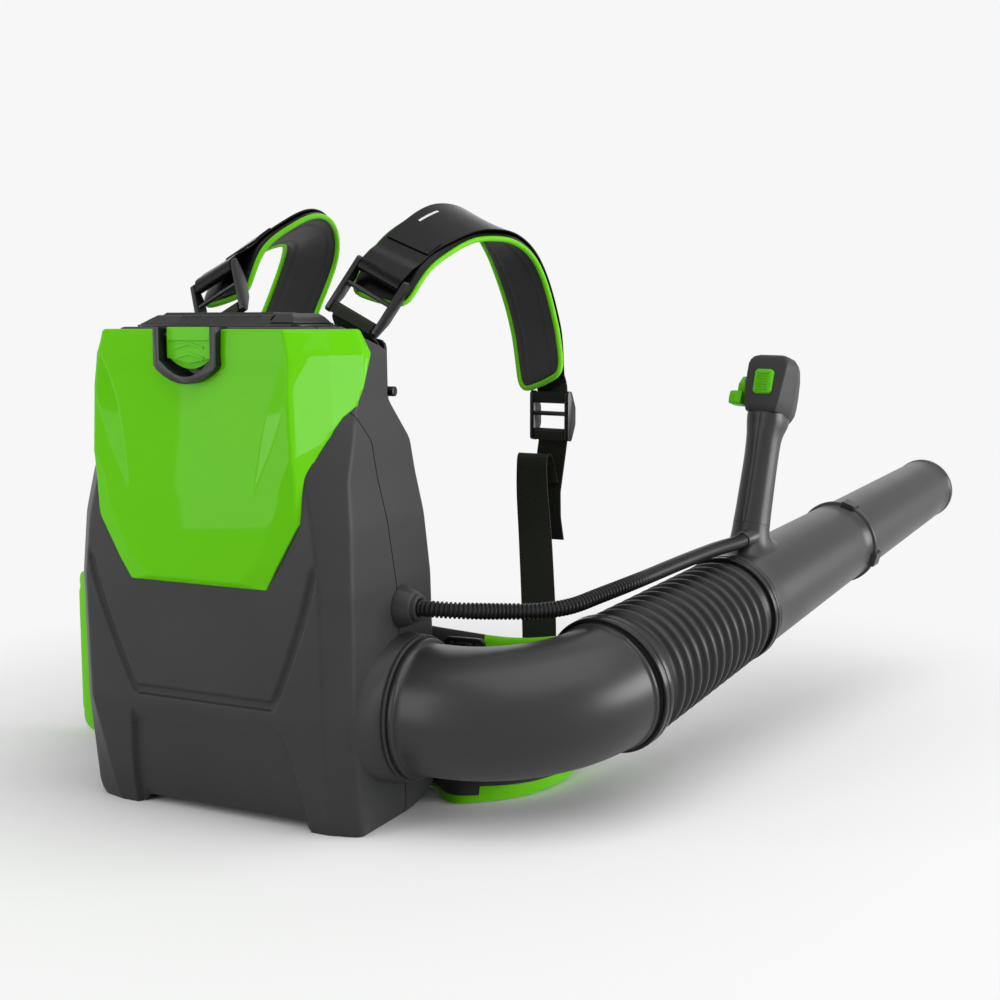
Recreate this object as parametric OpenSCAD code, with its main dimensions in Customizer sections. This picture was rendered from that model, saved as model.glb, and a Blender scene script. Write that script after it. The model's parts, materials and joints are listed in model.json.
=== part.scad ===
// Backpack leaf blower: battery powered, worn on the back, with a swivelling blow tube.
// Frame: +X to the tube side, +Y the wearer's forward direction, +Z up.
// The origin is the middle of the underside of the centre foot, which stands on the ground.

/* [Housing] */
// Width of the housing across its side walls
body_w = 310; // [270:1:380]
// Height of the housing above the ground
body_h = 468; // [450:1:580]
// How far the casing front lies ahead of the origin
body_front = 119; // [115:1:150]
// How far the casing back lies behind the origin
body_rear = 60; // [58:1:90]
// Wall thickness of the casing shells
wall = 3; // [2:0.5:4]
// Height of the arch between the side skids
arch_h = 8; // [6:1:14]
// How far the cover stands proud of the casing front
cover_proud = 12; // [8:1:18]
// Wall thickness of the cover
cover_wall = 3; // [2:0.5:4]

/* [Fan] */
// Outer diameter of the impeller
impeller_d = 150; // [120:1:160]
// Depth of the impeller
impeller_w = 46; // [30:1:55]
// Number of impeller blades
blade_count = 11; // [7:1:15]
// Height of the fan axis above the ground
fan_z = 165; // [155:1:185]
// Outer diameter of the motor
motor_d = 64; // [50:1:72]
// Length of the motor
motor_l = 36; // [28:1:40]
// Diameter of the motor shaft
shaft_d = 8; // [6:0.5:10]

/* [Battery] */
// Width of the battery pack
battery_w = 172; // [140:1:185]
// Depth of the battery pack
battery_d = 58; // [50:1:72]
// How far the battery top stands above the housing
battery_proud = 13; // [8:1:20]
// Clearance between the battery and its bay
battery_gap = 1.5; // [1:0.25:3]

/* [Tube] */
// Outer diameter of the elbow
elbow_d = 125; // [105:1:130]
// Wall thickness of the rigid tubes
tube_wall = 2.5; // [2:0.25:4]
// Radius of the elbow's centre line
elbow_bend_r = 126; // [110:1:150]
// Turn of the elbow, in degrees
elbow_turn = 78; // [70:1:85]
// Upward tilt of the whole tube, in degrees
tube_tilt = 9.25; // [4:0.25:12]
// Height of the air outlet above the ground
outlet_z = 107; // [100:1:115]
// Length of the ribbed bellows
bellows_l = 250; // [210:1:300]
// Number of bellows ribs
bellows_ribs = 12; // [8:1:13]
// Length of the main tube
main_l = 266; // [210:1:300]
// Length of the nozzle past the main tube
nozzle_l = 270; // [230:1:340]
// Outer diameter of the nozzle mouth
mouth_d = 77; // [70:1:90]

/* [Handle] */
// Width of the grip
grip_w = 38; // [34:1:42]
// Height of the handle, from the tube's axis
handle_h = 275; // [250:1:320]
// Forward lean of the handle, in degrees
handle_lean = 14; // [5:1:20]

/* [Harness] */
// Width of the shoulder pads
pad_w = 64; // [50:1:75]
// Thickness of the shoulder pads
pad_t = 12; // [8:1:16]
// Width of the webbing
web_w = 38; // [25:1:42]
// Thickness of the webbing
web_t = 1.6; // [1.2:0.1:2.5]
// Diameter of the cable conduit over its ribs
conduit_d = 16; // [12:1:18]
// Pitch of the conduit's ribs
conduit_pitch = 5; // [4:0.25:10]

/* [Hidden] */
$fn = 64;

green = "#62bb0c";
charcoal = "#4a4a4a";
dark = "#2c2c2c";
black = "#161616";
steel = "#b0b4b8";
copper = "#b87333";
// Running gap between pieces that turn or slide on each other
run = 0.3;
// Close gap where a round piece turns in its bore
fit = 0.08;

// ---- general functions -------------------------------------------------------------------
function unit(v) = v / norm(v);
function lerp(a, b, t) = a + (b - a) * t;

// Fillet of radius r at corner p between neighbours a and b, as n + 1 points
function fillet(a, p, b, r, n) =
    let (u = unit(a - p), v = unit(b - p), half = acos(max(-1, min(1, u * v))) / 2,
        c = p + unit(u + v) * r / sin(half), s = p + u * r / tan(half) - c,
        e = p + v * r / tan(half) - c, turn = (180 - 2 * half) * (cross(s, e) > 0 ? 1 : -1))
    [for (i = [0:n]) let (t = turn * i / n)
        c + [s[0] * cos(t) - s[1] * sin(t), s[0] * sin(t) + s[1] * cos(t)]];

// Closed outline from corners [x, y, radius]
function rounded(pts, n = 3) =
    let (m = len(pts)) [for (i = [0:m - 1]) each let (p = pts[i], a = pts[(i + m - 1) % m],
        b = pts[(i + 1) % m]) fillet([a[0], a[1]], [p[0], p[1]], [b[0], b[1]], p[2], n)];

function lift(outline, z) = [for (p = outline) [p[0], p[1], z]];

// Solid through a list of rings with the same number of points
module loft(rings) {
    n = len(rings[0]);
    k = len(rings);
    sides = [for (i = [0:k - 2]) for (j = [0:n - 1]) each let (a = i * n + j,
        b = i * n + (j + 1) % n) [[a, a + n, b + n], [a, b + n, b]]];
    polyhedron([for (r = rings) each r],
        concat([[for (j = [0:n - 1]) j]], sides, [[for (j = [n - 1:-1:0]) (k - 1) * n + j]]));
}

// Ring-shaped solid: as loft, but the last ring joins the first
module closed_loft(rings) {
    n = len(rings[0]);
    k = len(rings);
    polyhedron([for (r = rings) each r], [for (i = [0:k - 1]) for (j = [0:n - 1]) each
        let (a = i * n + j, b = i * n + (j + 1) % n, m = k * n)
        [[a, (a + n) % m, (b + n) % m], [a, (b + n) % m, b]]]);
}

// Smooth curve through route points, with n steps between each two
function smooth_at(a, b, c, d, t) =
    ((2 * b) + (c - a) * t + (2 * a - 5 * b + 4 * c - d) * t * t
        + (3 * b - a - 3 * c + d) * t * t * t) / 2;
function smooth(pts, n) =
    let (m = len(pts)) concat([for (i = [0:m - 2]) for (k = [0:n - 1])
        smooth_at(pts[max(i - 1, 0)], pts[i], pts[i + 1], pts[min(i + 2, m - 1)], k / n)],
        [pts[m - 1]]);
function xyz(p) = [p[0], p[1], p[2]];
function tangent(pts, i) =
    unit(xyz(pts[min(i + 1, len(pts) - 1)]) - xyz(pts[max(i - 1, 0)]));

// Band swept along route points [x, y, z, roll, yaw]: section is a list of [across, out] points
function across(p) = [cos(p[3]) * cos(p[4]), cos(p[3]) * sin(p[4]), -sin(p[3])];
function band_flat(pts, i) = let (t = tangent(pts, i), a = across(pts[i])) unit(a - (a * t) * t);
function band_ring(pts, i, section, scale) =
    let (flat = band_flat(pts, i), up = cross(tangent(pts, i), flat))
    [for (q = section) xyz(pts[i]) + q[0] * scale * flat + q[1] * up];

module band(pts, section) loft([for (i = [0:len(pts) - 1]) band_ring(pts, i, section, 1)]);
function flat_section(w, t) = [[-w / 2, -t / 2], [w / 2, -t / 2], [w / 2, t / 2], [-w / 2, t / 2]];

// The point v turned as rotate(a) turns it
function spin(v, a) = let (
    p = [v[0], v[1] * cos(a[0]) - v[2] * sin(a[0]), v[1] * sin(a[0]) + v[2] * cos(a[0])],
    q = [p[0] * cos(a[1]) + p[2] * sin(a[1]), p[1], -p[0] * sin(a[1]) + p[2] * cos(a[1])])
    [q[0] * cos(a[2]) - q[1] * sin(a[2]), q[0] * sin(a[2]) + q[1] * cos(a[2]), q[2]];

module mirror_x() mirror([1, 0, 0]) children();

// ---- housing -----------------------------------------------------------------------------
half_w = body_w / 2;
front_y = -body_front;
cover_y = front_y - cover_proud;
shoulder_z = body_h - 66;

// Plan sections of the casing: [z, front y, front half width, side start y, side x, side end y,
// back half width, back y]
body_rows = [
    [0, front_y + 25, half_w - 34, front_y + 33, half_w - 4, 4, half_w - 18, 8],
    [5, front_y + 23, half_w - 32, front_y + 31, half_w - 1, 28, half_w - 16, body_rear - 24],
    [16, front_y + 20, half_w - 31, front_y + 28, half_w, body_rear - 12, half_w - 14, body_rear - 2],
    [110, front_y + 5, half_w - 19, front_y + 19, half_w, body_rear - 10, half_w - 12, body_rear],
    [230, front_y + 1, half_w - 19, front_y + 17, half_w, body_rear - 16, half_w - 12, body_rear - 8],
    [290, front_y + 0.5, half_w - 27, front_y + 21, half_w - 3, 36, half_w - 13, 46],
    [330, front_y, half_w - 38, front_y + 27, half_w - 9, 30, half_w - 20, 41],
    [362, front_y, half_w - 45, front_y + 39, half_w - 11, 24, half_w - 24, 34],
    [shoulder_z, front_y, half_w - 51, front_y + 53, half_w - 15, -10, half_w - 30, -2],
    [body_h - 21, front_y, half_w - 54, front_y + 54, half_w - 15, -11, half_w - 30, -3],
    [body_h, front_y + 3, half_w - 62, front_y + 39, half_w - 25, -68, half_w - 60, -16]];

function body_outline(r, i) =
    let (c = [[r[2] - i * 0.4, r[1] + i, 8], [r[4] - i, r[3] + i * 0.4, 8],
        [r[4] - i, r[5] - i * 0.4, 7], [r[6] - i * 0.4, r[7] - i, 7]])
    rounded(concat(c, [for (k = [3:-1:0]) [-c[k][0], c[k][1], c[k][2]]]));
last_row = len(body_rows) - 1;
module body_solid(i) {
    rows = i > 0 ? concat([concat([arch_h + i], [for (k = [1:7]) body_rows[2][k]])],
        [for (k = [3:last_row - 1]) body_rows[k]],
        [concat([body_h - i], [for (k = [1:7]) body_rows[last_row][k]])]) : body_rows;
    loft([for (r = rows) lift(body_outline(r, i), r[0])]);
}

// Sunken panel in the lower front, above the arch: grown by i for the inside of the casing
module recess_cut(i) intersection() {
    rotate([90, 0, 0]) linear_extrude(300) polygon([[-97 - i, -1], [97 + i, -1], [84 + i, 96 + i],
        [78 + i, 102 + i], [-78 - i, 102 + i], [-84 - i, 96 + i]]);
    rotate([90, 0, 90]) linear_extrude(300, center = true) polygon([[-200, -1], [front_y + 30 + i, -1],
        [front_y + 25 + i, 16], [front_y + 9.5 + i, 112 + i], [-200, 112 + i]]);
}
module casing_form(i) difference() {
    body_solid(i);
    recess_cut(i);
}

// Seam between front and back casing, seen from the side: [y, z]
seam = [[-8, -1], [-24, 227], [-48, 364], [-86, shoulder_z + 1], [-86, body_h + 1]];
module front_region(back) rotate([90, 0, 90]) linear_extrude(body_w + 60, center = true)
    polygon(concat(seam, [[back, body_h + 1], [back, -1]]));

// Fan and outlet places
fan_x = -20;
outlet_y = -10;
volute_half = 52;
scroll_min = impeller_d / 2 + 14;
collar_r = elbow_d / 2 + 7.5;
bay_front = -84.5;
bay_w = battery_w + 2 * battery_gap;
bay_d = battery_d + 2 * battery_gap;
bay_y = bay_front + bay_d / 2;
// The battery bay's floor lies above the fan scroll
bay_floor = fan_z + scroll_min + 60;
// Screws through the back casing: [x, y of the skin, z]
screw_spots = [for (x = [-1, 1]) each [[x * 120, body_rear - 1.4, 34], [x * 122, body_rear - 6.5, 214],
    [x * 112, 42.2, 324]]];

module casing_openings() {
    // air outlet
    collar_form(run);
    // cable
    translate([half_w - 20, gland_y, gland_z]) rotate([0, 90, 0]) cylinder(r = 10 + run, h = 40);
    // battery mouth
    translate([-bay_w / 2 - 3, bay_front - 3, body_h - 30]) cube([bay_w + 6, bay_d + 6, 40]);
    // arch between the skids
    translate([0, 0, -1]) linear_extrude(arch_h + 1)
        polygon([[-96, -200], [96, -200], [88, 100], [-88, 100]]);
}

module front_casing() {
    color(charcoal) difference() {
        intersection() {
            casing_form(0);
            front_region(-200);
        }
        casing_form(wall);
        casing_openings();
        latch_slab(3.3, front_y + 20, front_y - 10);
    }
}

intake_y = 49;
module intake_frame() translate([fan_x, intake_y, grille_z]) rotate([-84.5, 0, 0]) children();
module back_casing() {
    color(charcoal) difference() {
        union() {
            difference() {
                body_solid(0);
                front_region(-200);
                body_solid(wall);
            }
            for (p = screw_spots) translate([p[0], p[1] - 14, p[2]]) rotate([-90, 0, 0])
                cylinder(r = 5, h = 12);
        }
        casing_openings();
        for (p = screw_spots) translate([p[0], p[1] - 20, p[2]]) rotate([-90, 0, 0])
            cylinder(r = 2.2, h = 40);
        // air intake behind the fan
        intake_frame() cylinder(r = 45, h = 40, center = true);
    }
}

module casing_screws() {
    color(steel) for (p = screw_spots) translate([p[0], p[1], p[2]]) rotate([-90, 0, 0]) {
        translate([0, 0, -12]) cylinder(r = 2.1, h = 12.5);
        translate([0, 0, 0.4]) difference() {
            cylinder(r1 = 4.4, r2 = 3.4, h = 2.4);
            for (a = [0, 90]) rotate([0, 0, a]) translate([-2.2, -0.5, 1.2]) cube([4.4, 1, 2]);
        }
    }
}

// ---- cover -------------------------------------------------------------------------------
cover_low = body_h - 236;
// Front view of the cover's edge: [x, z]
cover_edge = [[76, cover_low], [114, body_h - 174], [117, body_h - 137], [124, body_h - 107],
    [132, body_h - 83], [139, body_h - 69], [half_w + 9, body_h - 67], [half_w + 9, body_h - 2]];
// Side view of the cover's back edge: [y, z]
cover_back = [[-200, cover_low - 20], [-78, cover_low - 20], [-66, body_h - 68],
    [-46, body_h - 23], [-52, body_h - 2], [-200, body_h - 2]];
// Cover plan sections: [z, front y, front half width, chamfer end y, chamfer end x, side y, side x]
cover_rows = [
    [cover_low - 10, cover_y + 1, 112, -93, half_w - 17, -62, half_w - 11.5],
    [body_h - 168, cover_y, 112, -93, half_w - 17, -62, half_w - 11.5],
    [body_h - 57, cover_y, 112, -93, half_w - 17, -62, half_w - 11.5],
    [body_h - 28, cover_y, 99, -92, half_w - 19, -60, half_w - 13],
    [body_h - 3, cover_y + 3, 90, -84, half_w - 28, -58, half_w - 24]];

function cover_ring(r, i) = let (c = [[r[2] - i * 0.4, r[1] + i, 10], [r[4] - i, r[3] + i * 0.4, 8],
    [r[6] - i, r[5] + i * 0.4, 6], [r[6] - i, 0, 2]])
    rounded(concat(c, [for (k = [3:-1:0]) [-c[k][0], c[k][1], c[k][2]]]));
module cover_block(i) intersection() {
    loft([for (r = cover_rows) lift(cover_ring(r, i), r[0] - (r[0] > body_h - 4 ? i : 0))]);
    rotate([90, 0, 0]) linear_extrude(400, center = true)
        offset(delta = -i) polygon(concat(cover_edge,
            [for (k = [len(cover_edge) - 1:-1:0]) [-cover_edge[k][0], cover_edge[k][1]]]));
    rotate([90, 0, 90]) linear_extrude(body_w + 60, center = true)
        offset(delta = -i) polygon(cover_back);
}

latch_w = 71;
latch_low = body_h - 52;
latch_y = cover_y - 3;
// Outline of the latch frame in front view, with a rounded lower end
function latch_outline(i) = concat(
    [[-latch_w / 2 + i, body_h + 2], [-latch_w / 2 + i, latch_low + 17 + i * 0.7]],
    [for (k = [-4:4]) [k / 4 * (latch_w / 2 - 3 - i * 0.9), latch_low + i + 13 * pow(k / 4, 2)]],
    [[latch_w / 2 - i, latch_low + 17 + i * 0.7], [latch_w / 2 - i, body_h + 2]]);
module latch_slab(i, back, front) translate([0, back, 0]) rotate([90, 0, 0])
    linear_extrude(back - front) polygon(latch_outline(i));

module green_cover() {
    color(green) difference() {
        cover_block(0);
        cover_block(cover_wall);
        // the casing's own skin
        intersection() {
            body_solid(0);
            translate([0, 0, body_h / 2]) cube([body_w + 20, 400, body_h + 20], center = true);
        }
        rotate([90, 0, 0]) linear_extrude(200) polygon(latch_outline(0));
    }
}

module latch_frame() {
    color(dark) difference() {
        union() {
            latch_slab(0.3, front_y, latch_y);
            latch_slab(3.6, front_y + 14, front_y - 1);
        }
        // finger room round the latch key
        latch_slab(7, front_y + 11.5, latch_y - 5);
        translate([0, 0, body_h + 20]) cube([200, 400, 40], center = true);
        translate([0, latch_pin_y, latch_pin_z]) rotate([0, 90, 0])
            cylinder(r = latch_pin_r + 0.02, h = latch_w - 6.5, center = true);
    }
}

// Key that releases the battery: it hangs from a pin and its lower edge lifts outwards
latch_pin_r = 2;
latch_pin_y = front_y;
latch_pin_z = body_h - 8;
key_w = latch_w - 20;
key_low = latch_low + 14;
module battery_latch() {
    color(green) difference() {
        union() {
            translate([0, latch_pin_y - 3, 0]) rotate([90, 0, 0]) linear_extrude(4)
                polygon([[-key_w / 2, latch_pin_z + 4], [-key_w / 2, key_low + 10], [0, key_low + 5],
                    [key_w / 2, key_low + 10], [key_w / 2, latch_pin_z + 4]]);
            // curved lip behind the face
            translate([0, latch_pin_y - 1.5, 0]) rotate([90, 0, 0]) linear_extrude(4)
                polygon(concat([[-key_w / 2 + 2, latch_pin_z + 3]],
                    [for (k = [-4:4]) [k / 4 * (key_w / 2 - 4), key_low + 8 * pow(k / 4, 2)]],
                    [[key_w / 2 - 2, latch_pin_z + 3]]));
            translate([-key_w / 2, latch_pin_y, latch_pin_z]) rotate([0, 90, 0])
                cylinder(r = 4, h = key_w);
            // raised chevrons for the fingertip
            for (z = [key_low + 15, key_low + 24]) translate([0, latch_pin_y - 6, z]) rotate([90, 0, 0])
                linear_extrude(2) polygon([[-16, -4], [-16, -6], [0, -2], [16, -6], [16, -4], [0, 0]]);
        }
        translate([0, latch_pin_y, latch_pin_z]) rotate([0, 90, 0])
            cylinder(r = latch_pin_r + 0.06, h = 100, center = true);
        // room for the spring in the middle of the hinge
        translate([-9, latch_pin_y - 4.3, latch_pin_z - 4.6]) cube([18, 9, 9.2]);
    }
}

module latch_pin() {
    color(steel) translate([-latch_w / 2 + 3.5, latch_pin_y, latch_pin_z]) rotate([0, 90, 0])
        cylinder(r = latch_pin_r, h = latch_w - 7);
}

module latch_spring() {
    color(steel) translate([0, latch_pin_y, latch_pin_z]) rotate([0, 90, 0]) difference() {
        cylinder(r = 3.6, h = 16, center = true);
        cylinder(r = latch_pin_r + 0.4, h = 20, center = true);
    }
}

// ---- battery and electronics ---------------------------------------------------------------
battery_y = bay_y;
terminal_h = 12;
battery_low = bay_floor + wall + 1;
function plate_outline(w, d, r) = rounded([[-w / 2, -d / 2, r], [w / 2, -d / 2, r],
    [w / 2, d / 2, r], [-w / 2, d / 2, r]]);

module battery_pack() {
    color(black) difference() {
        union() {
            translate([0, battery_y, battery_low]) linear_extrude(body_h + 2.5 - battery_low)
                polygon(plate_outline(battery_w, battery_d, 5));
            translate([0, battery_y, 0]) loft([
                lift(plate_outline(battery_w + 6, battery_d + 6, 6), body_h + 2.3),
                lift(plate_outline(battery_w + 4, battery_d + 4, 6), body_h + 4.5),
                lift(plate_outline(battery_w - 34, battery_d - 10, 6), body_h + battery_proud)]);
        }
        // socket over the terminal block
        translate([-34, battery_y - 13, battery_low - 1]) cube([68, 26, terminal_h + 3]);
        // finger grips in both ends of the top
        for (s = [-1, 1]) translate([s * (battery_w / 2 - 12), battery_y, body_h + battery_proud])
            rotate([0, s * 31, 0]) cube([26, battery_d - 28, 5], center = true);
        // ribs along the front edge of the top
        for (i = [-3:3]) translate([i * 8, battery_y - battery_d / 2 + 3, body_h + battery_proud - 4])
            rotate([-58, 0, 0]) cube([3, 14, 1.6], center = true);
    }
}

module battery_bay() {
    color(dark) difference() {
        union() {
            translate([0, battery_y, bay_floor]) linear_extrude(body_h - bay_floor + 2)
                polygon(plate_outline(bay_w + 4, bay_d + 4, 6));
            translate([0, battery_y, body_h + run / 3]) linear_extrude(2 - run / 3)
                polygon(plate_outline(bay_w + 13, bay_d + 10, 9));
            // posts that carry the control board
            for (x = [-48, 48]) for (y = [-16, 16]) translate([x, battery_y + y, bay_floor - 16])
                cylinder(r = 3.5, h = 17);
        }
        translate([0, battery_y, bay_floor + wall]) linear_extrude(body_h)
            polygon(plate_outline(bay_w, bay_d, 5));
        translate([-28, battery_y - 9, bay_floor - 1]) cube([56, 18, wall + 2]);
    }
}

module terminal_block() {
    color(dark) translate([-31, battery_y - 11, bay_floor + wall]) cube([62, 22, 4]);
    color(copper) for (x = [-22, -8, 8, 22])
        translate([x - 1, battery_y - 7, bay_floor - 8]) cube([2, 14, terminal_h + 12]);
}

module control_board() {
    color("#1f6b3a") difference() {
        translate([-62, battery_y - 24, bay_floor - 18]) cube([124, 48, 2]);
        for (x = [-48, 48]) for (y = [-16, 16]) translate([x, battery_y + y, bay_floor - 20])
            cylinder(r = 1.6, h = 6);
    }
    color(black) for (x = [-30, -12, 6]) translate([x, battery_y + 2, bay_floor - 38])
        cylinder(r = 8, h = 20);
    color(steel) for (i = [0:5]) translate([20 + 4 * i, battery_y - 20, bay_floor - 30])
        cube([2, 40, 12]);
}

// ---- fan -----------------------------------------------------------------------------------
front_wall_y = outlet_y - volute_half;
rear_wall_y = outlet_y + volute_half;
vol_wall = 2.5;
scroll_max = fan_z - outlet_z + elbow_d / 2 - 2.5;
duct_x = half_w - 55;
eye_r = impeller_d / 2 - 28;

// Scroll seen from the front, growing anticlockwise to the outlet at its foot
function scroll(i) = concat([for (k = [1:27]) let (a = k * 10, r = lerp(scroll_min, scroll_max, k / 27) - i)
    [fan_x + r * cos(a), fan_z + r * sin(a)]], [[duct_x, fan_z - scroll_max + i],
    [duct_x, outlet_z * 2 - fan_z + scroll_max - i],
    [fan_x + scroll_min * 0.96 - i, outlet_z * 2 - fan_z + scroll_max - i]]);
module scroll_slab(i, y, w) translate([0, y + w, 0]) rotate([90, 0, 0]) linear_extrude(w)
    polygon(scroll(i));
module on_fan(y) translate([fan_x, y, fan_z]) rotate([-90, 0, 0]) children();

module volute_front() {
    color(dark) difference() {
        scroll_slab(0, front_wall_y, volute_half);
        difference() {
            scroll_slab(vol_wall, front_wall_y + vol_wall, volute_half);
            on_fan(front_wall_y) cylinder(r = 16, h = 6);
        }
        translate([duct_x - 1, front_wall_y + vol_wall, fan_z - scroll_max + vol_wall])
            cube([4, volute_half, 2 * (scroll_max + outlet_z - fan_z) - 2 * vol_wall]);
        on_fan(front_wall_y - 1) cylinder(r = shaft_d / 2 + 1, h = 10);
    }
}

module volute_rear() {
    color(dark) difference() {
        union() {
            scroll_slab(0, outlet_y, volute_half);
            on_fan(rear_wall_y - 1) cylinder(r = eye_r + 7, h = 4);
        }
        difference() {
            scroll_slab(vol_wall, outlet_y - 1, volute_half - vol_wall + 1);
            // inlet ring that reaches towards the impeller's eye
            on_fan(front_wall_y + impeller_w + 12) cylinder(r = eye_r - 1, h = 80);
        }
        translate([duct_x - 1, outlet_y - 1, fan_z - scroll_max + vol_wall])
            cube([4, volute_half - vol_wall + 1, 2 * (scroll_max + outlet_z - fan_z) - 2 * vol_wall]);
        on_fan(outlet_y - 10) cylinder(r = eye_r - 4, h = 80);
    }
}

impeller_y = front_wall_y + 7;
// Backward-curved blade as a thin arc from the hub to the rim
function blade_line(side) = [for (k = [0:6]) let (t = k / 6, r = lerp(eye_r - 12, impeller_d / 2 - 2, t),
    a = 62 * t * t * 0.9 + side * 90 / r) [r * cos(a), r * sin(a)]];
module blade() polygon(concat(blade_line(-1), [for (k = [6:-1:0]) blade_line(1)[k]]));
module impeller() {
    color("#3a3a3a") on_fan(impeller_y) difference() {
        union() {
            cylinder(r = impeller_d / 2, h = 3);
            cylinder(r = 14, h = 22);
            translate([0, 0, impeller_w - 3]) difference() {
                cylinder(r = impeller_d / 2, h = 3);
                translate([0, 0, -1]) cylinder(r = eye_r + 2, h = 5);
            }
            for (k = [0:blade_count - 1]) rotate([0, 0, k * 360 / blade_count])
                translate([0, 0, 2]) linear_extrude(impeller_w - 4) blade();
        }
        translate([0, 0, -1]) cylinder(r = shaft_d / 2 + 0.05, h = 30);
    }
}

motor_front_y = front_wall_y - motor_l - 6;
module motor_rotor() {
    color("#55585c") on_fan(motor_front_y) difference() {
        cylinder(r = motor_d / 2, h = motor_l - 2);
        translate([0, 0, 3]) cylinder(r = motor_d / 2 - 3, h = motor_l);
        translate([0, 0, -1]) cylinder(r = shaft_d / 2 + 0.05, h = 10);
        for (k = [0:5]) rotate([0, 0, k * 60]) translate([motor_d / 4 + 3, 0, -1]) cylinder(r = 5, h = 6);
    }
}

module motor_stator() {
    color(copper) on_fan(motor_front_y + 6) difference() {
        union() {
            cylinder(r = 15, h = motor_l);
            for (k = [0:11]) rotate([0, 0, k * 30]) translate([10, -3, 2])
                cube([motor_d / 2 - 3 - 1 - 10, 6, motor_l - 9]);
            translate([0, 0, motor_l - 3]) cylinder(r = 22, h = 3);
        }
        translate([0, 0, -1]) cylinder(r = 11, h = 8);
        translate([0, 0, motor_l - 7]) cylinder(r = 11, h = 8);
        translate([0, 0, -1]) cylinder(r = shaft_d / 2 + 1, h = motor_l + 2);
    }
}

module motor_shaft() {
    color(steel) on_fan(motor_front_y - 3) cylinder(r = shaft_d / 2, h = impeller_y + 22 - motor_front_y + 3);
}

module shaft_bearings() {
    color(steel) for (y = [motor_front_y + 6, motor_front_y + motor_l - 1]) on_fan(y) difference() {
        cylinder(r = 11, h = 7);
        translate([0, 0, -1]) cylinder(r = shaft_d / 2 + 0.05, h = 9);
    }
}

grille_z = fan_z + 95;
module intake_grille() {
    color(dark) intake_frame() translate([0, 0, -3.5]) difference() {
        cylinder(r = 44.7, h = 5);
        intersection() {
            translate([0, 0, -2]) cylinder(r = 41, h = 9);
            for (k = [-5:5]) translate([-45, k * 7 - 2, -2]) cube([90, 4, 9]);
        }
    }
}

// ---- air tube ------------------------------------------------------------------------------
straight_l = 44.5;
lip_x = 18;
elbow_end = [straight_l + elbow_bend_r * sin(elbow_turn), elbow_bend_r * (1 - cos(elbow_turn)), 0];
elbow_r = elbow_d / 2;
cuff_l = 14;
module tube_frame() translate([half_w, outlet_y, outlet_z]) rotate([tube_tilt, 0, 0]) children();
// Frame on the straight run: local Z points along the tube, distance s from the elbow's end
module along_tube(s) tube_frame() translate(elbow_end) rotate([0, 0, elbow_turn])
    translate([s, 0, 0]) rotate([0, 90, 0]) children();

module outlet_duct() {
    n = 24;
    hw = volute_half;
    hh = outlet_z - fan_z + scroll_max;
    function squircle(w, h, t) = [for (k = [0:n - 1]) let (a = 360 * k / n + 7.5, c = cos(a), s = sin(a),
        box = min(w / max(abs(c), 0.001), h / max(abs(s), 0.001)), r = lerp(box, elbow_r - 0.5, t))
        [r * c, r * s]];
    function ring(x, t, i) = [for (p = squircle(hw, hh, t)) let (q = p * (1 - i / norm(p)))
        [x, outlet_y + q[0], outlet_z + q[1]]];
    stops = [[duct_x + 0.2, 0], [duct_x + 12, 0.25], [duct_x + 30, 0.8], [half_w - 10, 1]];
    color(dark) difference() {
        loft([for (q = stops) ring(q[0], q[1], 0)]);
        loft(concat([ring(duct_x - 1, 0, vol_wall)], [for (q = stops) ring(q[0], q[1], vol_wall)],
            [ring(half_w - 9, 1, vol_wall)]));
    }
}

// Teardrop fairing round the outlet, grown by g for the opening in the casing
module collar_form(g) {
    function x(d) = [half_w + d, outlet_y, outlet_z];
    hull() {
        translate(x(-9)) rotate([0, 90, 0]) cylinder(r = collar_r + 3 + g, h = 9 + g, $fn = 48);
        translate([half_w - 9, outlet_y - 66, outlet_z - 2]) rotate([0, 90, 0])
            cylinder(r = 29 + g, h = 7 + g, $fn = 32);
        translate(x(6)) rotate([0, 90, 0]) cylinder(r = collar_r + g, h = 6, $fn = 48);
    }
}
module outlet_collar() {
    color(charcoal) difference() {
        union() {
            collar_form(0);
            translate([half_w - 9, outlet_y, outlet_z]) rotate([0, 90, 0])
                cylinder(r = collar_r, h = lip_x + 8.5);
        }
        translate([half_w - 20, outlet_y, outlet_z]) rotate([0, 90, 0]) cylinder(r = elbow_r + fit, h = 60);
        // groove round the rim
        translate([half_w + lip_x - 5, outlet_y, outlet_z]) rotate([0, 90, 0]) difference() {
            cylinder(r = collar_r + 5, h = 1.6);
            translate([0, 0, -1]) cylinder(r = collar_r - 1.6, h = 4);
        }
    }
}

module elbow_form(i) {
    r = elbow_r - i;
    tube_frame() {
        translate([-8 - i, 0, 0]) rotate([0, 90, 0]) cylinder(r = r, h = straight_l + 8 + i);
        translate([straight_l, elbow_bend_r, 0]) rotate([0, 0, -90])
            rotate_extrude(angle = elbow_turn) translate([elbow_bend_r, 0]) circle(r = r);
    }
    along_tube(-0.01) cylinder(r = r, h = cuff_l + i);
}

module elbow() {
    color(charcoal) difference() {
        union() {
            elbow_form(0);
            tube_frame() translate([lip_x, 0, 0]) rotate([0, 90, 0]) cylinder(r = elbow_r + 4.5, h = 7);
            along_tube(-7) cylinder(r = elbow_r + 2, h = 4);
        }
        elbow_form(tube_wall);
    }
}

bellows_r0 = elbow_r + 3.5;
bellows_r1 = 58.5;
rib_start = 30;
rib_end = bellows_l - 24;
rib_h = 6;
skin = 2;
main_r = bellows_r1 - 5.5;
function bellows_r(s) = lerp(bellows_r0, bellows_r1, max(0, min(1, (s - 10) / (bellows_l - 20))));
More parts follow.
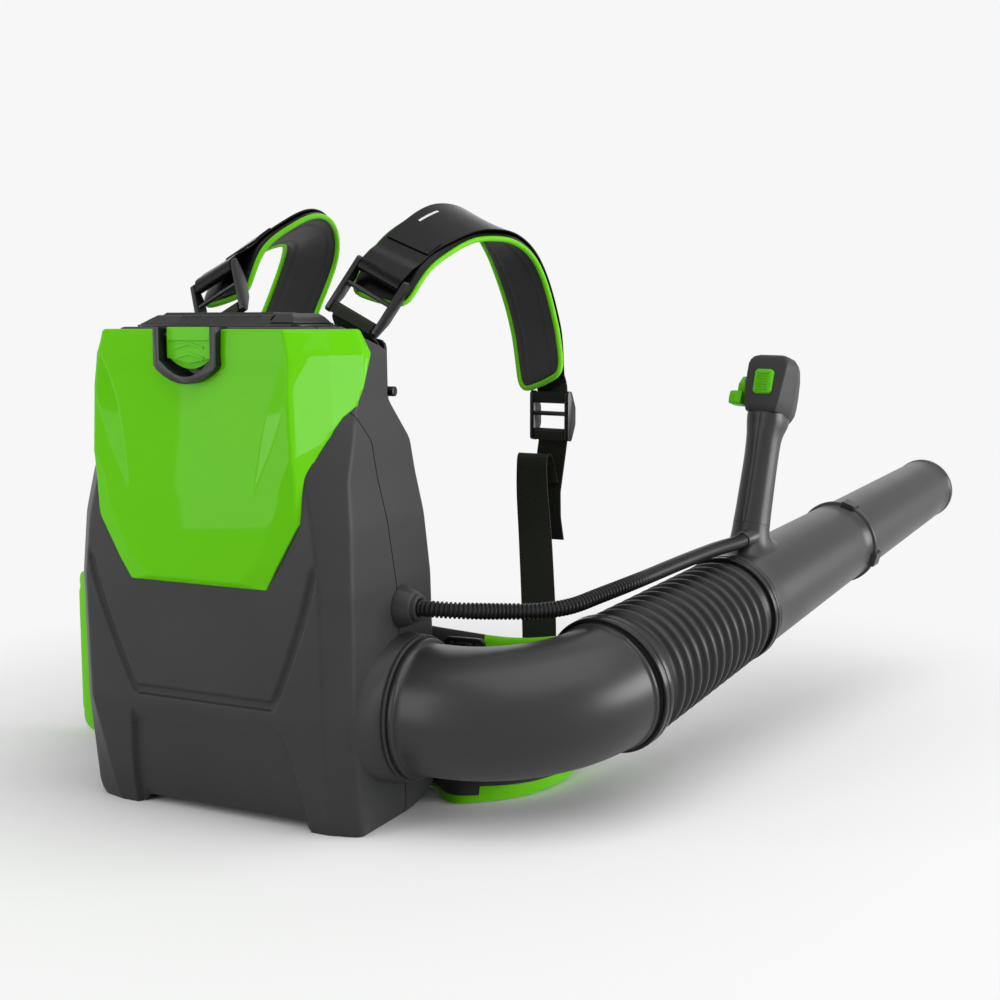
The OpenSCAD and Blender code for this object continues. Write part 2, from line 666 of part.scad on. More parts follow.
// Wall line of the bellows, moved outwards by i: [radius, distance]
function bellows_line(i) = concat(
    [[elbow_r + run + i, -2.6], [elbow_r + run + i, cuff_l + 2], [bellows_r(22) - 5 + i, cuff_l + 5]],
    [for (k = [0:bellows_ribs - 1]) each let (p = (rib_end - rib_start) / bellows_ribs,
        s = rib_start + k * p, r = bellows_r(s) - skin) [[r - rib_h + i, s], [r + i, s + p * 0.3],
        [r + i, s + p * 0.62], [r - rib_h + i, s + p * 0.92]]],
    [[main_r + run + i, rib_end + 6], [main_r + run + i, bellows_l]]);
module bellows() {
    color(dark) along_tube(0) {
        rotate_extrude() polygon(concat(bellows_line(0),
            [for (k = [len(bellows_line(0)) - 1:-1:0]) bellows_line(skin)[k]]));
    }
}

module bellows_clamp_rear() {
    color(charcoal) along_tube(-1.5) difference() {
        cylinder(r = bellows_r0 + 3, h = 14);
        translate([0, 0, -1]) cylinder(r = elbow_r + run + skin, h = 20);
    }
}

module bellows_clamp_front() {
    color(charcoal) along_tube(bellows_l - 14) difference() {
        cylinder(r = bellows_r1 + 1.5, h = 12);
        translate([0, 0, -1]) cylinder(r = main_r + run + skin, h = 20);
    }
}

// Main tube, from inside the bellows to the nozzle's bayonet collar
main_s = bellows_l + 2;
main_end = main_s + main_l;
main_r1 = mouth_d / 2 + 9;
collar_l = 18;
lug_count = 3;
lug_span = 14;
nozzle_turn = 20;
saddle_s = main_s + 28;
handle_foot = tube_point(saddle_s) + [-6, 0, 0];
function tube_point(s) = let (a = elbow_end + s * [cos(elbow_turn), sin(elbow_turn), 0])
    [half_w + a[0], outlet_y + a[1] * cos(tube_tilt), outlet_z + a[1] * sin(tube_tilt)];
module handle_frame() translate(handle_foot) rotate([-handle_lean, 1, -10]) children();
function oval(hx, hy, p, n) = [for (k = [0:n - 1]) let (a = 360 * k / n, c = cos(a), s = sin(a))
    [hx * sign(c) * pow(abs(c), 2 / p), hy * sign(s) * pow(abs(s), 2 / p)]];
function oval_ring(r, i, n) = [for (p = oval(r[1] - i, r[2] - i, r[4], n)) [p[0], p[1] + r[3], r[0]]];

grip_h = grip_w / 2;
base_z = main_r + 31;
// Saddle sections: [height, half width, half depth, shift, squareness]
saddle_rows = [[main_r - 16, grip_h + 20, 42, 12, 2], [main_r + 1, grip_h + 9, 31, 8, 2.1],
    [main_r + 10, grip_h + 3, 24, 3, 2.1], [main_r + 20, grip_h + 1.5, 20.5, 0, 2.2],
    [base_z, grip_h + 1, 20, 0, 2.2]];

module main_tube() {
    color(charcoal) difference() {
        union() {
            along_tube(bellows_l - 16) cylinder(r = main_r, h = 20);
            along_tube(main_s) cylinder(r = main_r + 5, h = 4);
            along_tube(main_s + 3.9) cylinder(r1 = main_r + 3, r2 = main_r1, h = main_l - 4);
            along_tube(main_end - 6) cylinder(r = main_r1 + 2, h = 6);
            handle_frame() loft([for (r = saddle_rows) oval_ring(r, 0, 24)]);
            // socket for the conduit's end
            conduit_socket() cylinder(r = conduit_d / 2 + 3, h = 18);
        }
        along_tube(bellows_l - 17) cylinder(r = main_r - tube_wall, h = 22);
        along_tube(main_s + 3.9) cylinder(r1 = main_r - tube_wall, r2 = main_r1 - tube_wall,
            h = main_l - 3.9 - collar_l);
        along_tube(main_end - collar_l - 0.1) cylinder(r = main_r1 - tube_wall, h = collar_l + 1);
        conduit_socket() translate([0, 0, -1]) cylinder(r = conduit_d / 2 + 0.4, h = 5);
        conduit_socket() cylinder(r = conduit_d / 2 - 3, h = 12);
        // bayonet slots for the nozzle's lugs
        along_tube(main_end - collar_l + 4) for (k = [0:lug_count - 1])
            rotate([0, 0, k * 360 / lug_count + 25]) bayonet_cut(lug_span + nozzle_turn + 2, 6);
    }
}

module bayonet_cut(span, w) rotate([0, 0, -1]) rotate_extrude(angle = span)
    translate([main_r1 - 4, 0]) square([10, w]);

module nozzle() {
    r0 = main_r1 - tube_wall - fit;
    color(charcoal) difference() {
        union() {
            along_tube(main_end - collar_l) cylinder(r = r0, h = collar_l + 4);
            along_tube(main_end + 0.4) cylinder(r = main_r1 + 1, h = 5);
            along_tube(main_end + 5.3) cylinder(r1 = main_r1 - 1, r2 = mouth_d / 2 + 1, h = nozzle_l - 13);
            along_tube(main_end + nozzle_l - 8) cylinder(r = mouth_d / 2 + 1.8, h = 8);
            along_tube(main_end - collar_l + 4.5) for (k = [0:lug_count - 1])
                rotate([0, 0, k * 360 / lug_count + 25]) rotate_extrude(angle = lug_span)
                    translate([r0 - 2, 0]) square([main_r1 + 1.5 - r0 + 2, 5]);
        }
        along_tube(main_end - collar_l - 1) cylinder(r = r0 - tube_wall, h = collar_l + 6);
        along_tube(main_end + 4.9) cylinder(r1 = r0 - tube_wall, r2 = mouth_d / 2 - 1.2, h = nozzle_l - 12.8);
        along_tube(main_end + nozzle_l - 8) cylinder(r = mouth_d / 2 - 1.2, h = 9);
    }
}

// ---- control handle --------------------------------------------------------------------------
head_z = handle_h - 69;
shell_wall = 2.5;
// Grip sections: [height, half width, half depth, shift, squareness]
grip_rows = [[base_z + 0.3, grip_h + 1, 20, 0, 2.2], [base_z + 14, grip_h + 0.5, 19.5, 0, 2.2],
    [base_z + 36, grip_h, 18.5, 0, 2.3], [lerp(base_z, head_z, 0.6), grip_h - 0.5, 18, 0, 2.3],
    [head_z - 24, grip_h, 19, 0, 2.4], [head_z - 8, grip_h + 2, 22.5, 3, 2.8],
    [head_z, grip_h + 3, 25, 4, 3.2]];
head_rows = [[head_z + 0.4, grip_h + 3.5, 25.5, 4, 3.4], [head_z + 9, grip_h + 4.5, 27, 5, 4],
    [head_z + 41, grip_h + 3.5, 26, 6, 4.2], [head_z + 60, grip_h, 22, 5, 3.6],
    [handle_h - 3, grip_h - 5, 17, 4, 3], [handle_h, grip_h - 9, 11, 4, 2.6]];
trigger_top = head_z - 22;
trigger_low = trigger_top - 52;
trigger_pin_y = 8;
trigger_w = 13;

module grip_shell() {
    difference() {
        loft([for (r = grip_rows) oval_ring(r, 0, 20)]);
        loft([for (k = [0:len(grip_rows) - 1]) let (r = grip_rows[k], up = k == 0 ? shell_wall : k == 6 ? 1 : 0)
            oval_ring(concat([r[0] + up], [for (j = [1:4]) r[j]]), shell_wall, 20)]);
        // slot for the trigger
        translate([-trigger_w / 2 - 0.6, 4, trigger_low - 3])
            cube([trigger_w + 1.2, 40, trigger_top - trigger_low + 9]);
        translate([0, trigger_pin_y, trigger_top]) rotate([0, 90, 0])
            cylinder(r = 2.03, h = 80, center = true);
    }
}
module handle_shell_left() {
    color(charcoal) handle_frame() intersection() {
        grip_shell();
        translate([-100, -100, 0]) cube([100, 200, 400]);
    }
}
module handle_shell_right() {
    color(charcoal) handle_frame() intersection() {
        grip_shell();
        translate([0, -100, 0]) cube([100, 200, 400]);
    }
}

button_w = 21;
button_h = 26;
button_z = head_z + 34;
button_y = -20.5;
button_travel = 2.5;
lever_z = head_z + 28;
lever_y = 8;
module handle_head() {
    color(charcoal) handle_frame() difference() {
        loft([for (r = head_rows) oval_ring(r, 0, 24)]);
        loft([for (k = [0:4]) let (r = head_rows[k])
            oval_ring(concat([r[0] - (k == 0 ? 1 : 0)], [for (j = [1:4]) r[j]]), shell_wall, 24)]);
        translate([0, -30, button_z]) cube([button_w + 0.2, 30, button_h + 0.2], center = true);
        translate([-40, lever_y, lever_z]) rotate([0, 90, 0]) cylinder(r = 5.06, h = 40);
    }
}

module trigger() {
    color(green) handle_frame() difference() {
        union() {
            translate([-trigger_w / 2, trigger_pin_y - 4, trigger_low])
                cube([trigger_w, 14, trigger_top - trigger_low]);
            translate([-trigger_w / 2, trigger_pin_y, trigger_top]) rotate([0, 90, 0])
                cylinder(r = 4, h = trigger_w);
            // fingertip curve
            translate([-trigger_w / 2, 0, 0]) rotate([90, 0, 90]) linear_extrude(trigger_w)
                polygon([[17, trigger_top - 8], [21, trigger_top - 22], [21.5, trigger_low + 10],
                    [24, trigger_low + 2], [23, trigger_low], [17, trigger_low]]);
        }
        translate([0, trigger_pin_y, trigger_top]) rotate([0, 90, 0])
            cylinder(r = 2.06, h = 80, center = true);
        translate([-4, trigger_pin_y - 5, trigger_low + 3]) cube([8, 8, trigger_top - trigger_low - 10]);
    }
}

module trigger_pin() {
    color(steel) handle_frame() translate([0, trigger_pin_y, trigger_top]) rotate([0, 90, 0])
        cylinder(r = 2, h = grip_w - 4, center = true);
}

module trigger_spring() {
    color(steel) handle_frame() translate([0, -4, trigger_low + 22]) rotate([-90, 0, 0]) difference() {
        cylinder(r = 3, h = 10.5);
        translate([0, 0, -1]) cylinder(r = 2.2, h = 14);
    }
}

module switch_module() {
    color(black) handle_frame() translate([-6, -14, trigger_low + 6]) cube([12, 9.5, 30]);
}

module cruise_lever() {
    color(green) handle_frame() translate([-grip_h - 4.9, lever_y, lever_z]) rotate([0, -90, 0]) {
        translate([0, 0, -12]) cylinder(r = 5, h = 13);
        cylinder(r = 13, h = 5);
        // stepped thumb tab
        translate([0, -24, 0]) {
            translate([-4, 0, 0]) cube([16, 22, 9]);
            translate([-14, 0, 4]) cube([14, 20, 13]);
        }
    }
}

module boost_button() {
    color(green) handle_frame() translate([0, button_y, button_z]) {
        translate([0, -1.5, 0]) cube([button_w, 9, button_h], center = true);
        for (i = [-3:3]) translate([0, -6.6, i * 3.4]) cube([button_w - 6, 1.6, 1.4], center = true);
    }
}

module boost_spring() {
    color(steel) handle_frame() translate([0, button_y + 3.2, button_z]) rotate([-90, 0, 0]) difference() {
        cylinder(r = 4, h = 12);
        translate([0, 0, -1]) cylinder(r = 3.1, h = 14);
    }
}

// ---- cable conduit -----------------------------------------------------------------------------
gland_y = -14;
gland_z = 205;
module conduit_gland() {
    color(charcoal) translate([half_w - 6, gland_y, gland_z]) rotate([0, 90, 0]) difference() {
        union() {
            cylinder(r = 10, h = 7);
            translate([0, 0, 6]) cylinder(r1 = 21, r2 = 15, h = 15);
            translate([0, 0, 21]) cylinder(r = 13, h = 5);
        }
        translate([0, 0, -1]) cylinder(r = conduit_d / 2 - 3, h = 40);
        translate([0, 0, 20]) cylinder(r = conduit_d / 2 + 0.4, h = 10);
    }
}

conduit_dir = [0, 84.3, 74.8];
conduit_end = [380, 347, 234.6];
module conduit_socket() translate(conduit_end) rotate(conduit_dir) children();
// Conduit route from the gland to the foot of the handle
conduit_route = [[170, gland_y, gland_z], [190, gland_y, gland_z], [215, -2, 203.5], [242, 25, 200.5],
    [270, 50, 199], [290, 77, 200.5], [305, 112, 206], [327, 165, 215], [347, 225, 224], [364, 288, 230.5],
    conduit_end + spin([0, 0, -18], conduit_dir), conduit_end + spin([0, 0, 3], conduit_dir)];
function run_length(line) = [for (i = 0, d = 0; i < len(line);
    d = d + (i < len(line) - 1 ? norm(line[i + 1] - line[i]) : 0), i = i + 1) d];
module conduit() {
    line = smooth(conduit_route, 10);
    run_l = run_length(line);
    total = run_l[len(line) - 1];
    count = 2 * floor((total - 2 * conduit_d) / conduit_pitch);
    plain = conduit_d / 2 - 0.4;
    function at(d) = [for (j = [0:2]) lookup(d, [for (i = [0:len(line) - 1]) [run_l[i], line[i][j]]])];
    function ring(d, r) = let (t = unit(at(min(d + 1, total)) - at(max(d - 1, 0))),
        w = unit(cross([0, 0, 1], t)), u = cross(t, w))
        [for (k = [0:7]) at(d) + r * (cos(45 * k + 22.5) * w + sin(45 * k + 22.5) * u)];
    outer = concat([ring(0, plain)], [for (i = [0:count]) ring(lerp(conduit_d, total - conduit_d, i / count),
        conduit_d / 2 - (i % 2 == 0 ? 1.6 : 0))], [ring(total, plain)]);
    inner = [for (i = [16:-1:0]) ring(total * i / 16, conduit_d / 2 - 3.4)];
    color(black) closed_loft(concat(outer, inner));
}

// ---- harness -----------------------------------------------------------------------------------
plate_y = body_rear + 2;
plate_t = 4;
strap_x = 64;
module back_plate() {
    color(dark) difference() {
        union() {
            translate([0, plate_y + plate_t, 0]) rotate([90, 0, 0]) linear_extrude(plate_t)
                polygon(rounded([[-98, 122, 16], [98, 122, 16], [104, 300, 30], [95, 390, 30],
                    [94, body_h - 12, 9], [-94, body_h - 12, 9], [-95, 390, 30], [-104, 300, 30]]));
            for (x = [-70, 70]) for (q = [[150, body_rear - 1.7], [330, 43.6]]) translate([x, q[1], q[0]])
                rotate([-90, 0, 0]) cylinder(r = 11, h = plate_y - q[1] + 1);
            // fasteners on the plate's edges
            for (x = [-104, 90]) translate([x, plate_y + 2, 404]) rotate([0, 90, 0]) cylinder(r = 5, h = 14);
        }
        for (s = [-1, 1]) for (z = [body_h - 42, body_h - 30]) translate([s * strap_x - 26, 0, z])
            cube([52, 200, 5]);
        translate([-34, 0, 200]) cube([68, 200, 120]);
    }
}

module back_cushion() {
    // crowned pad with drawn-in sides: [height above the plate, inset]
    steps = [[0.3, 5], [5, 0], [13, 2], [19, 10], [22, 26]];
    color("#333333") translate([0, plate_y + plate_t, 0]) rotate([90, 0, 180]) loft([for (q = steps)
        lift(rounded([[-92 + q[1], 206 + q[1], 18], [92 - q[1], 206 + q[1], 18], [96 - q[1], 300, 30],
            [88 - q[1], 424 - q[1], 18], [-88 + q[1], 424 - q[1], 18], [-96 + q[1], 300, 30]]), q[0])]);
}

// Hip pad route seen from above: [x, y, top height, flare at the foot, bottom height]
hip_line = [[-324, 86, 168, 0, 34], [-316, 84, 180, 0, 10], [-296, 81, 187, 0, 0], [-250, 77, 189, 0, 0],
    [-190, 75, 184, 0, 0], [-120, 74.8, 176, 0, 0], [0, 74.8, 172, 0, 0], [120, 74.8, 168, 0, 0],
    [146, 75, 166, 0, 0], [162, 75.5, 165, 30, 0], [177, 76.5, 164, 44, 0], [196, 80, 162, 32, 0],
    [214, 86, 160, 20, 0], [232, 99, 158, 9, 0], [244, 122, 156, 4, 0], [250, 155, 152, 2, 0],
    [253, 188, 142, 0, 6],
    [254, 206, 130, 0, 18], [254, 216, 116, 0, 40]];
hip_t = 15;
function hip_flat(i) = [hip_line[i][0], hip_line[i][1], 0];
function hip_side(i) = let (n = len(hip_line) - 1,
    t = unit(hip_flat(min(i + 1, n)) - hip_flat(max(i - 1, 0)))) [-t[1], t[0], 0];
module hip_pad() {
    n = len(hip_line);
    function heights(p) = [p[4], p[4] + 12, lerp(p[4], p[2], 0.2), lerp(p[4], p[2], 0.4),
        lerp(p[4], p[2], 0.7), p[2] - 12, p[2]];
    function thick(i, k) = [0.35, 0.85, 1, 1, 1, 0.85, 0.35][k] * hip_t / 2
        * (i == 0 || i == n - 1 ? 0.45 : 1);
    function lean(i, z) = -hip_side(i) * hip_line[i][3] * pow(max(0, 1 - z / 62), 2);
    function edge(i, s) = let (h = heights(hip_line[i])) [for (k = [0:6])
        hip_flat(i) + lean(i, h[k]) + s * hip_side(i) * thick(i, k) + [0, 0, h[k] + 1]];
    color(green) loft([for (i = [n - 1:-1:0]) concat(edge(i, -1), [for (k = [6:-1:0]) edge(i, 1)[k]])]);
}

buckle_x = 181;
module hip_buckle() {
    color(dark) translate([buckle_x, 67, 142]) rotate([90, 0, 3]) difference() {
        union() {
            linear_extrude(5) polygon(plate_outline(44, 40, 6));
            linear_extrude(6.5) polygon(plate_outline(20, 30, 5));
        }
        translate([-17, -16, -1]) cube([6, 32, 10]);
        translate([11, -16, -1]) cube([6, 32, 10]);
    }
}

// Waist webbing on the outer face of both wings of the hip pad
function belt_route(a, b, z) = [for (i = [a:b]) concat(hip_flat(i) - hip_side(i) * (hip_t / 2 + 1.7)
    + [0, 0, z], [-90, 0])];
module hip_belt() {
    color(black) {
        band(belt_route(1, 5, 128), flat_section(web_w, web_t));
        band(concat([[106, 66, 128, -90, 0], [157, 66, 138, -90, 0]]), flat_section(web_w, web_t));
        band(concat([[204, 73.4, 138, -90, 0]], belt_route(12, 16, 136)), flat_section(30, web_t));
    }
}

// Shoulder strap centre lines for the right side: [x, y, z, roll, yaw]
pad_line = [[93, 52, 497, 20, 0], [100, 85, 535, 27, 0], [106, 125, 558, 30, 0], [114, 175, 575, 30, 0],
    [127, 218, 572, 25, -3], [140, 248, 550, 16, -7], [153, 262, 514, 7, -12], [168, 262, 463, 2, -17],
    [184, 245, 408, 0, -20]];
function cushion_section(w, t) = [[-w / 2, -t * 0.3], [-w * 0.3, -t / 2], [w * 0.3, -t / 2], [w / 2, -t * 0.3],
    [w / 2, t * 0.3], [w * 0.3, t / 2], [-w * 0.3, t / 2], [-w / 2, t * 0.3]];
module shoulder_pad_right() {
    line = smooth(pad_line, 4);
    n = len(line) - 1;
    function end_scale(i) = i == 0 || i == n ? 0.7 : i == 1 || i == n - 1 ? 0.95 : 1;
    color(green) loft([for (i = [0:n]) band_ring(line, i, cushion_section(pad_w, pad_t), end_scale(i))]);
}
module shoulder_pad_left() mirror_x() shoulder_pad_right();

// Ladder-lock buckle: webbing loops round its end bars, which lie at +-h/2
module ladder_lock(w, h) {
    for (s = [-1, 1]) translate([s * (w / 2 + 4) - 2.5, 0, 0]) rotate([90, 0, 90]) linear_extrude(5)
        polygon(rounded([[-4, -h / 2 - 7, 3], [2, -h / 2 - 10, 3], [10, -h / 4, 9], [10, h / 4, 9],
            [2, h / 2 + 10, 3], [-4, h / 2 + 7, 3]]));
    for (z = [-h / 2, h * 0.07, h / 2]) translate([-w / 2 - 2, 0, z]) rotate([0, 90, 0])
        cylinder(r = 2.5, h = w + 4);
}
upper_w = pad_w - 14;
upper_lock = [89, 38, 497];
upper_turn = [-20, 27, 0];
upper_h = 46;
lower_lock = [193, 246, 372];
lower_turn = [0, 0, -12];
lower_h = 36;
module upper_buckle_right() color(dark) translate(upper_lock) rotate(upper_turn)
    ladder_lock(upper_w, upper_h);
module upper_buckle_left() mirror_x() upper_buckle_right();
module lower_buckle_right() color(dark) translate(lower_lock) rotate(lower_turn)
    ladder_lock(web_w, lower_h);
module lower_buckle_left() mirror_x() lower_buckle_right();

// Route points in a ladder-lock's own frame: [out, up] pairs
function lock_route(pts, place, turn) = [for (q = pts)
    concat(place + spin([0, q[0], q[1]], turn), [turn[1], turn[2]])];
// Loop of webbing round a bar at height h, open upwards (s = 1) or downwards (s = -1)
function bar_loop(h, s) = [[3.9, h + s * 9], [3.9, h], [2.8, h - s * 2.8], [0, h - s * 4],
    [-2.8, h - s * 2.8], [-3.9, h], [-3.9, h + s * 8]];
on_pad = -(pad_t / 2 + 3.2);
module upper_webbing_right() {
    top_loop = lock_route(bar_loop(upper_h / 2, 1), upper_lock, upper_turn);
    flat = [for (q = flat_section(upper_w, web_t)) q + [0, on_pad]];
    line = smooth(pad_line, 4);
    lead = concat(top_loop, [[103, 60, 533, 26, 0], [101.7, 79.5, 540, 27, 0]]);
    low = lock_route(bar_loop(-upper_h / 2, -1), upper_lock, upper_turn);
    chest = lock_route(bar_loop(lower_h / 2, 1), lower_lock, lower_turn);
    color(black) {
        loft(concat([for (i = [0:len(lead) - 2]) band_ring(lead, i, flat_section(upper_w, web_t), 1)],
            [for (i = [4:len(line) - 1]) band_ring(line, i, flat, 1)]));
        band(concat([for (k = [6:-1:0]) low[k]], [[72, 46, 458, 14, 0], [66, 57, 446, 2, 0],
            [strap_x, 62, 441, 0, 0], [strap_x, 67.5, 440, 0, 0], [strap_x, 69, 432, 0, 0]]),
            flat_section(upper_w, web_t));
        band(concat([[182.8, 258.6, 424, 0, -18], [187.4, 254.8, 411, 0, -16]], chest),
            flat_section(web_w, web_t));
    }
}
module upper_webbing_left() mirror_x() upper_webbing_right();
// Lower webbing: the route ends in the points given, at the hip pad
module lower_webbing(ends) {
    hang = lock_route(bar_loop(-lower_h / 2, -1), lower_lock, lower_turn);
    color(black) {
        band(concat([for (k = [6:-1:0]) hang[k]], [[191, 249, 322, 0, -12], [187, 248, 290, 0, -12],
            [187, 249, 262, 0, -12], [189, 253, 236, 0, -12]]), flat_section(web_w, web_t));
        band(smooth(concat([[185, 245, 296, 0, -8], [180, 245.5, 318, 0, -6], [177, 243, 328, 0, -6],
            [176, 238, 330, 0, -6], [176, 234, 322, 0, -6], [179, 228, 292, 0, -4]], ends), 2),
            flat_section(web_w, web_t));
    }
}
module lower_webbing_right() lower_webbing([[190, 212, 245, 0, 0], [204, 188, 196, 0, 0],
    [217, 164, 152, 0, 0], [222.7, 150, 118, 0, 0]]);
module lower_webbing_left() mirror_x() lower_webbing([[186, 202, 245, 0, 0], [198, 152, 200, 0, 0],
    [208, 106, 166, 0, 0], [212, 87, 148, 0, 0], [214, 85.4, 118, 0, 0]]);

module foot_pads() {
    color(black) translate([0, 0, 0]) cylinder(r = 16, h = arch_h);
}

front_casing();
back_casing();
green_cover();
latch_frame();
battery_latch();
latch_pin();
latch_spring();
battery_pack();
battery_bay();
terminal_block();
control_board();
volute_front();
volute_rear();
impeller();
motor_rotor();
motor_stator();
motor_shaft();
shaft_bearings();
intake_grille();
outlet_duct();
outlet_collar();
elbow();
bellows();
bellows_clamp_rear();
bellows_clamp_front();
main_tube();
nozzle();
handle_shell_left();
handle_shell_right();
handle_head();
trigger();
trigger_pin();
trigger_spring();
cruise_lever();
boost_button();
boost_spring();
switch_module();
conduit_gland();
conduit();
back_plate();
back_cushion();
hip_pad();
hip_buckle();
hip_belt();
shoulder_pad_left();
shoulder_pad_right();
upper_webbing_left();
upper_webbing_right();
upper_buckle_left();
upper_buckle_right();
lower_webbing_left();
lower_webbing_right();
lower_buckle_left();
lower_buckle_right();
casing_screws();
foot_pads();
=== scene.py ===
"""Backpack leaf blower: moulded shells, tubes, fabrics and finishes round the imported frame.

Working sizes are in millimetres, as on the parts' drawings; MM turns them to metres.
Frame: +X to the tube side, +Y the wearer's forward direction, +Z up.
"""
import json
import math

import bmesh
import bpy
import numpy as np
from mathutils import Matrix, Vector


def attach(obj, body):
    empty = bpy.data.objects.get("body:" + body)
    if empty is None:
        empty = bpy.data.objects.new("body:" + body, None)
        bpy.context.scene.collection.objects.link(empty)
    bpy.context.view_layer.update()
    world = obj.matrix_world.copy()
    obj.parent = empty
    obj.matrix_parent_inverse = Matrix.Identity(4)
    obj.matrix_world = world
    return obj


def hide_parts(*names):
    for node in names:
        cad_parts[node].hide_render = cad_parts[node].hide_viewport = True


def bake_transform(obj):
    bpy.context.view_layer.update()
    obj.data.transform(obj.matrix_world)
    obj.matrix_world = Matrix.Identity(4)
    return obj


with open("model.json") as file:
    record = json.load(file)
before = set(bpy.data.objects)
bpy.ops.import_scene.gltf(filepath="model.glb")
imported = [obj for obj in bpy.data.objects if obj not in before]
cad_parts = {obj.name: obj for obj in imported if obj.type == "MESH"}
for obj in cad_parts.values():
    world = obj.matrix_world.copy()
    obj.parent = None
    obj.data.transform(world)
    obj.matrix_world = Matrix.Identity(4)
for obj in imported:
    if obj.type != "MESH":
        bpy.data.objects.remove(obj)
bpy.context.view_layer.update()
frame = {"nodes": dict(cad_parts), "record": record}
nodes = frame["nodes"]
MM = 0.001

# ---- sizes shared with the parts' drawings, in millimetres -------------------------------
# Housing: half its width, its height, and the places of its front, its cover and its back
HALF_W, BODY_H = 155.0, 468.0
FRONT_Y, COVER_Y, REAR_Y = -119.0, -131.0, 60.0
OUTLET = np.array([HALF_W, -10.0, 107.0])
# Elbow: radius, radius of its bend and straight run before it; degrees it turns and tilts
ELBOW_R, BEND_R, STRAIGHT = 62.5, 126.0, 44.5
TURN, TILT = 78.0, 9.25
BELLOWS_L, RIBS = 250.0, 12
# Main tube: where it starts past the elbow, its length, its radius at both ends and its wall
MAIN_S, MAIN_L = 252.0, 266.0
MAIN_END = MAIN_S + MAIN_L
MAIN_R, MAIN_R1, TUBE_WALL = 53.0, 47.5, 2.5
# Nozzle: how far it reaches into the main tube, its length beyond it and its mouth
COLLAR_L, NOZZLE_L, MOUTH_D = 18.0, 270.0, 77.0
# Handle: half the grip's width, its height over the tube's axis and its lean in degrees
GRIP_HALF, HANDLE_H, HANDLE_LEAN = 19.0, 275.0, 14.0
# Harness: pad and webbing, width and thickness
PAD_W, PAD_T = 64.0, 12.0
WEB_W, WEB_T = 38.0, 1.6
CONDUIT_D, CONDUIT_PITCH = 16.0, 4.2


# ---- camera ------------------------------------------------------------------------------
FOCAL, SENSOR, SIGHT = 52.2, 36.0, 60.0           # millimetres, and metres of sight
CAMERA_AT = (0.83145, -1.18897, 0.470)            # metres
LOOKS_DOWN, LOOKS_ROUND = 6.9, 26.0               # degrees
lens = bpy.data.cameras.new("camera")
lens.lens = FOCAL
lens.sensor_width = SENSOR
lens.clip_end = SIGHT
camera = bpy.data.objects.new("camera", lens)
camera.location = CAMERA_AT
camera.rotation_euler = (math.radians(90 - LOOKS_DOWN), 0, math.radians(LOOKS_ROUND))
bpy.context.scene.collection.objects.link(camera)
bpy.context.scene.camera = camera


# ---- finishes ----------------------------------------------------------------------------
def linear(code):
    """sRGB hex to linear RGBA."""
    parts = [int(code[i:i + 2], 16) / 255 for i in (1, 3, 5)]
    return [c / 12.92 if c <= 0.04045 else ((c + 0.055) / 1.055) ** 2.4 for c in parts] + [1.0]


def add(tree, kind, values=None, links=None):
    """Add a node: lower-case names set its properties, other names its sockets."""
    made = tree.nodes.new(kind)
    for key, value in (values or {}).items():
        if isinstance(key, str) and key[0].islower():
            setattr(made, key, value)
        else:
            made.inputs[key].default_value = value
    for key, source in (links or {}).items():
        tree.links.new(source, made.inputs[key])
    return made


def new_finish(name, rough, ior=1.5, metallic=0.0, shine=0.3):
    """A material with its shader, the tree, and coordinates in metres."""
    made = bpy.data.materials.new(name)
    made.use_nodes = True
    tree = made.node_tree
    shader = tree.nodes["Principled BSDF"]
    shader.inputs["Roughness"].default_value = rough
    shader.inputs["IOR"].default_value = ior
    shader.inputs["Metallic"].default_value = metallic
    shader.inputs["Specular IOR Level"].default_value = shine
    place = add(tree, "ShaderNodeTexCoord").outputs["Object"]
    return made, tree, shader, place


def tone(tree, shader, place, low, high, size, detail=3.0):
    """Colour that drifts between two hex tones in patches of the given size in millimetres."""
    cloud = add(tree, "ShaderNodeTexNoise", {"Scale": 1 / (size * MM), "Detail": detail},
                {"Vector": place})
    mix = add(tree, "ShaderNodeMix", {"data_type": "RGBA", 6: linear(low), 7: linear(high)},
              {0: cloud.outputs["Fac"]})
    tree.links.new(mix.outputs[2], shader.inputs["Base Color"])


def relief(tree, shader, layers):
    """Stack bumps: (height output, depth in millimetres, strength)."""
    normal = None
    for height, depth, strength in layers:
        links = {"Height": height}
        if normal:
            links["Normal"] = normal
        normal = add(tree, "ShaderNodeBump", {"Distance": depth * MM, "Strength": strength},
                     links).outputs["Normal"]
    tree.links.new(normal, shader.inputs["Normal"])


def moulded_plastic(name, low, high, rough, grain, depth, shine=0.15):
    """Injection moulding with a spark-eroded grain: grain size and depth in millimetres."""
    made, tree, shader, place = new_finish(name, rough, 1.53, shine=shine)
    tone(tree, shader, place, low, high, 90)
    pits = add(tree, "ShaderNodeTexNoise", {"Scale": 1 / (grain * MM), "Detail": 2.0, "Roughness": 0.6},
               {"Vector": place})
    # slow sink and flow of the melt, in patches of 50 mm
    swirl = add(tree, "ShaderNodeTexNoise", {"Scale": 1 / (50 * MM), "Detail": 2.0}, {"Vector": place})
    relief(tree, shader, [(pits.outputs["Fac"], depth, 0.5), (swirl.outputs["Fac"], 0.6, 0.25)])
    worn = add(tree, "ShaderNodeMapRange", {"To Min": rough - 0.05, "To Max": rough + 0.06},
               {"Value": swirl.outputs["Fac"]})
    tree.links.new(worn.outputs["Result"], shader.inputs["Roughness"])
    return made


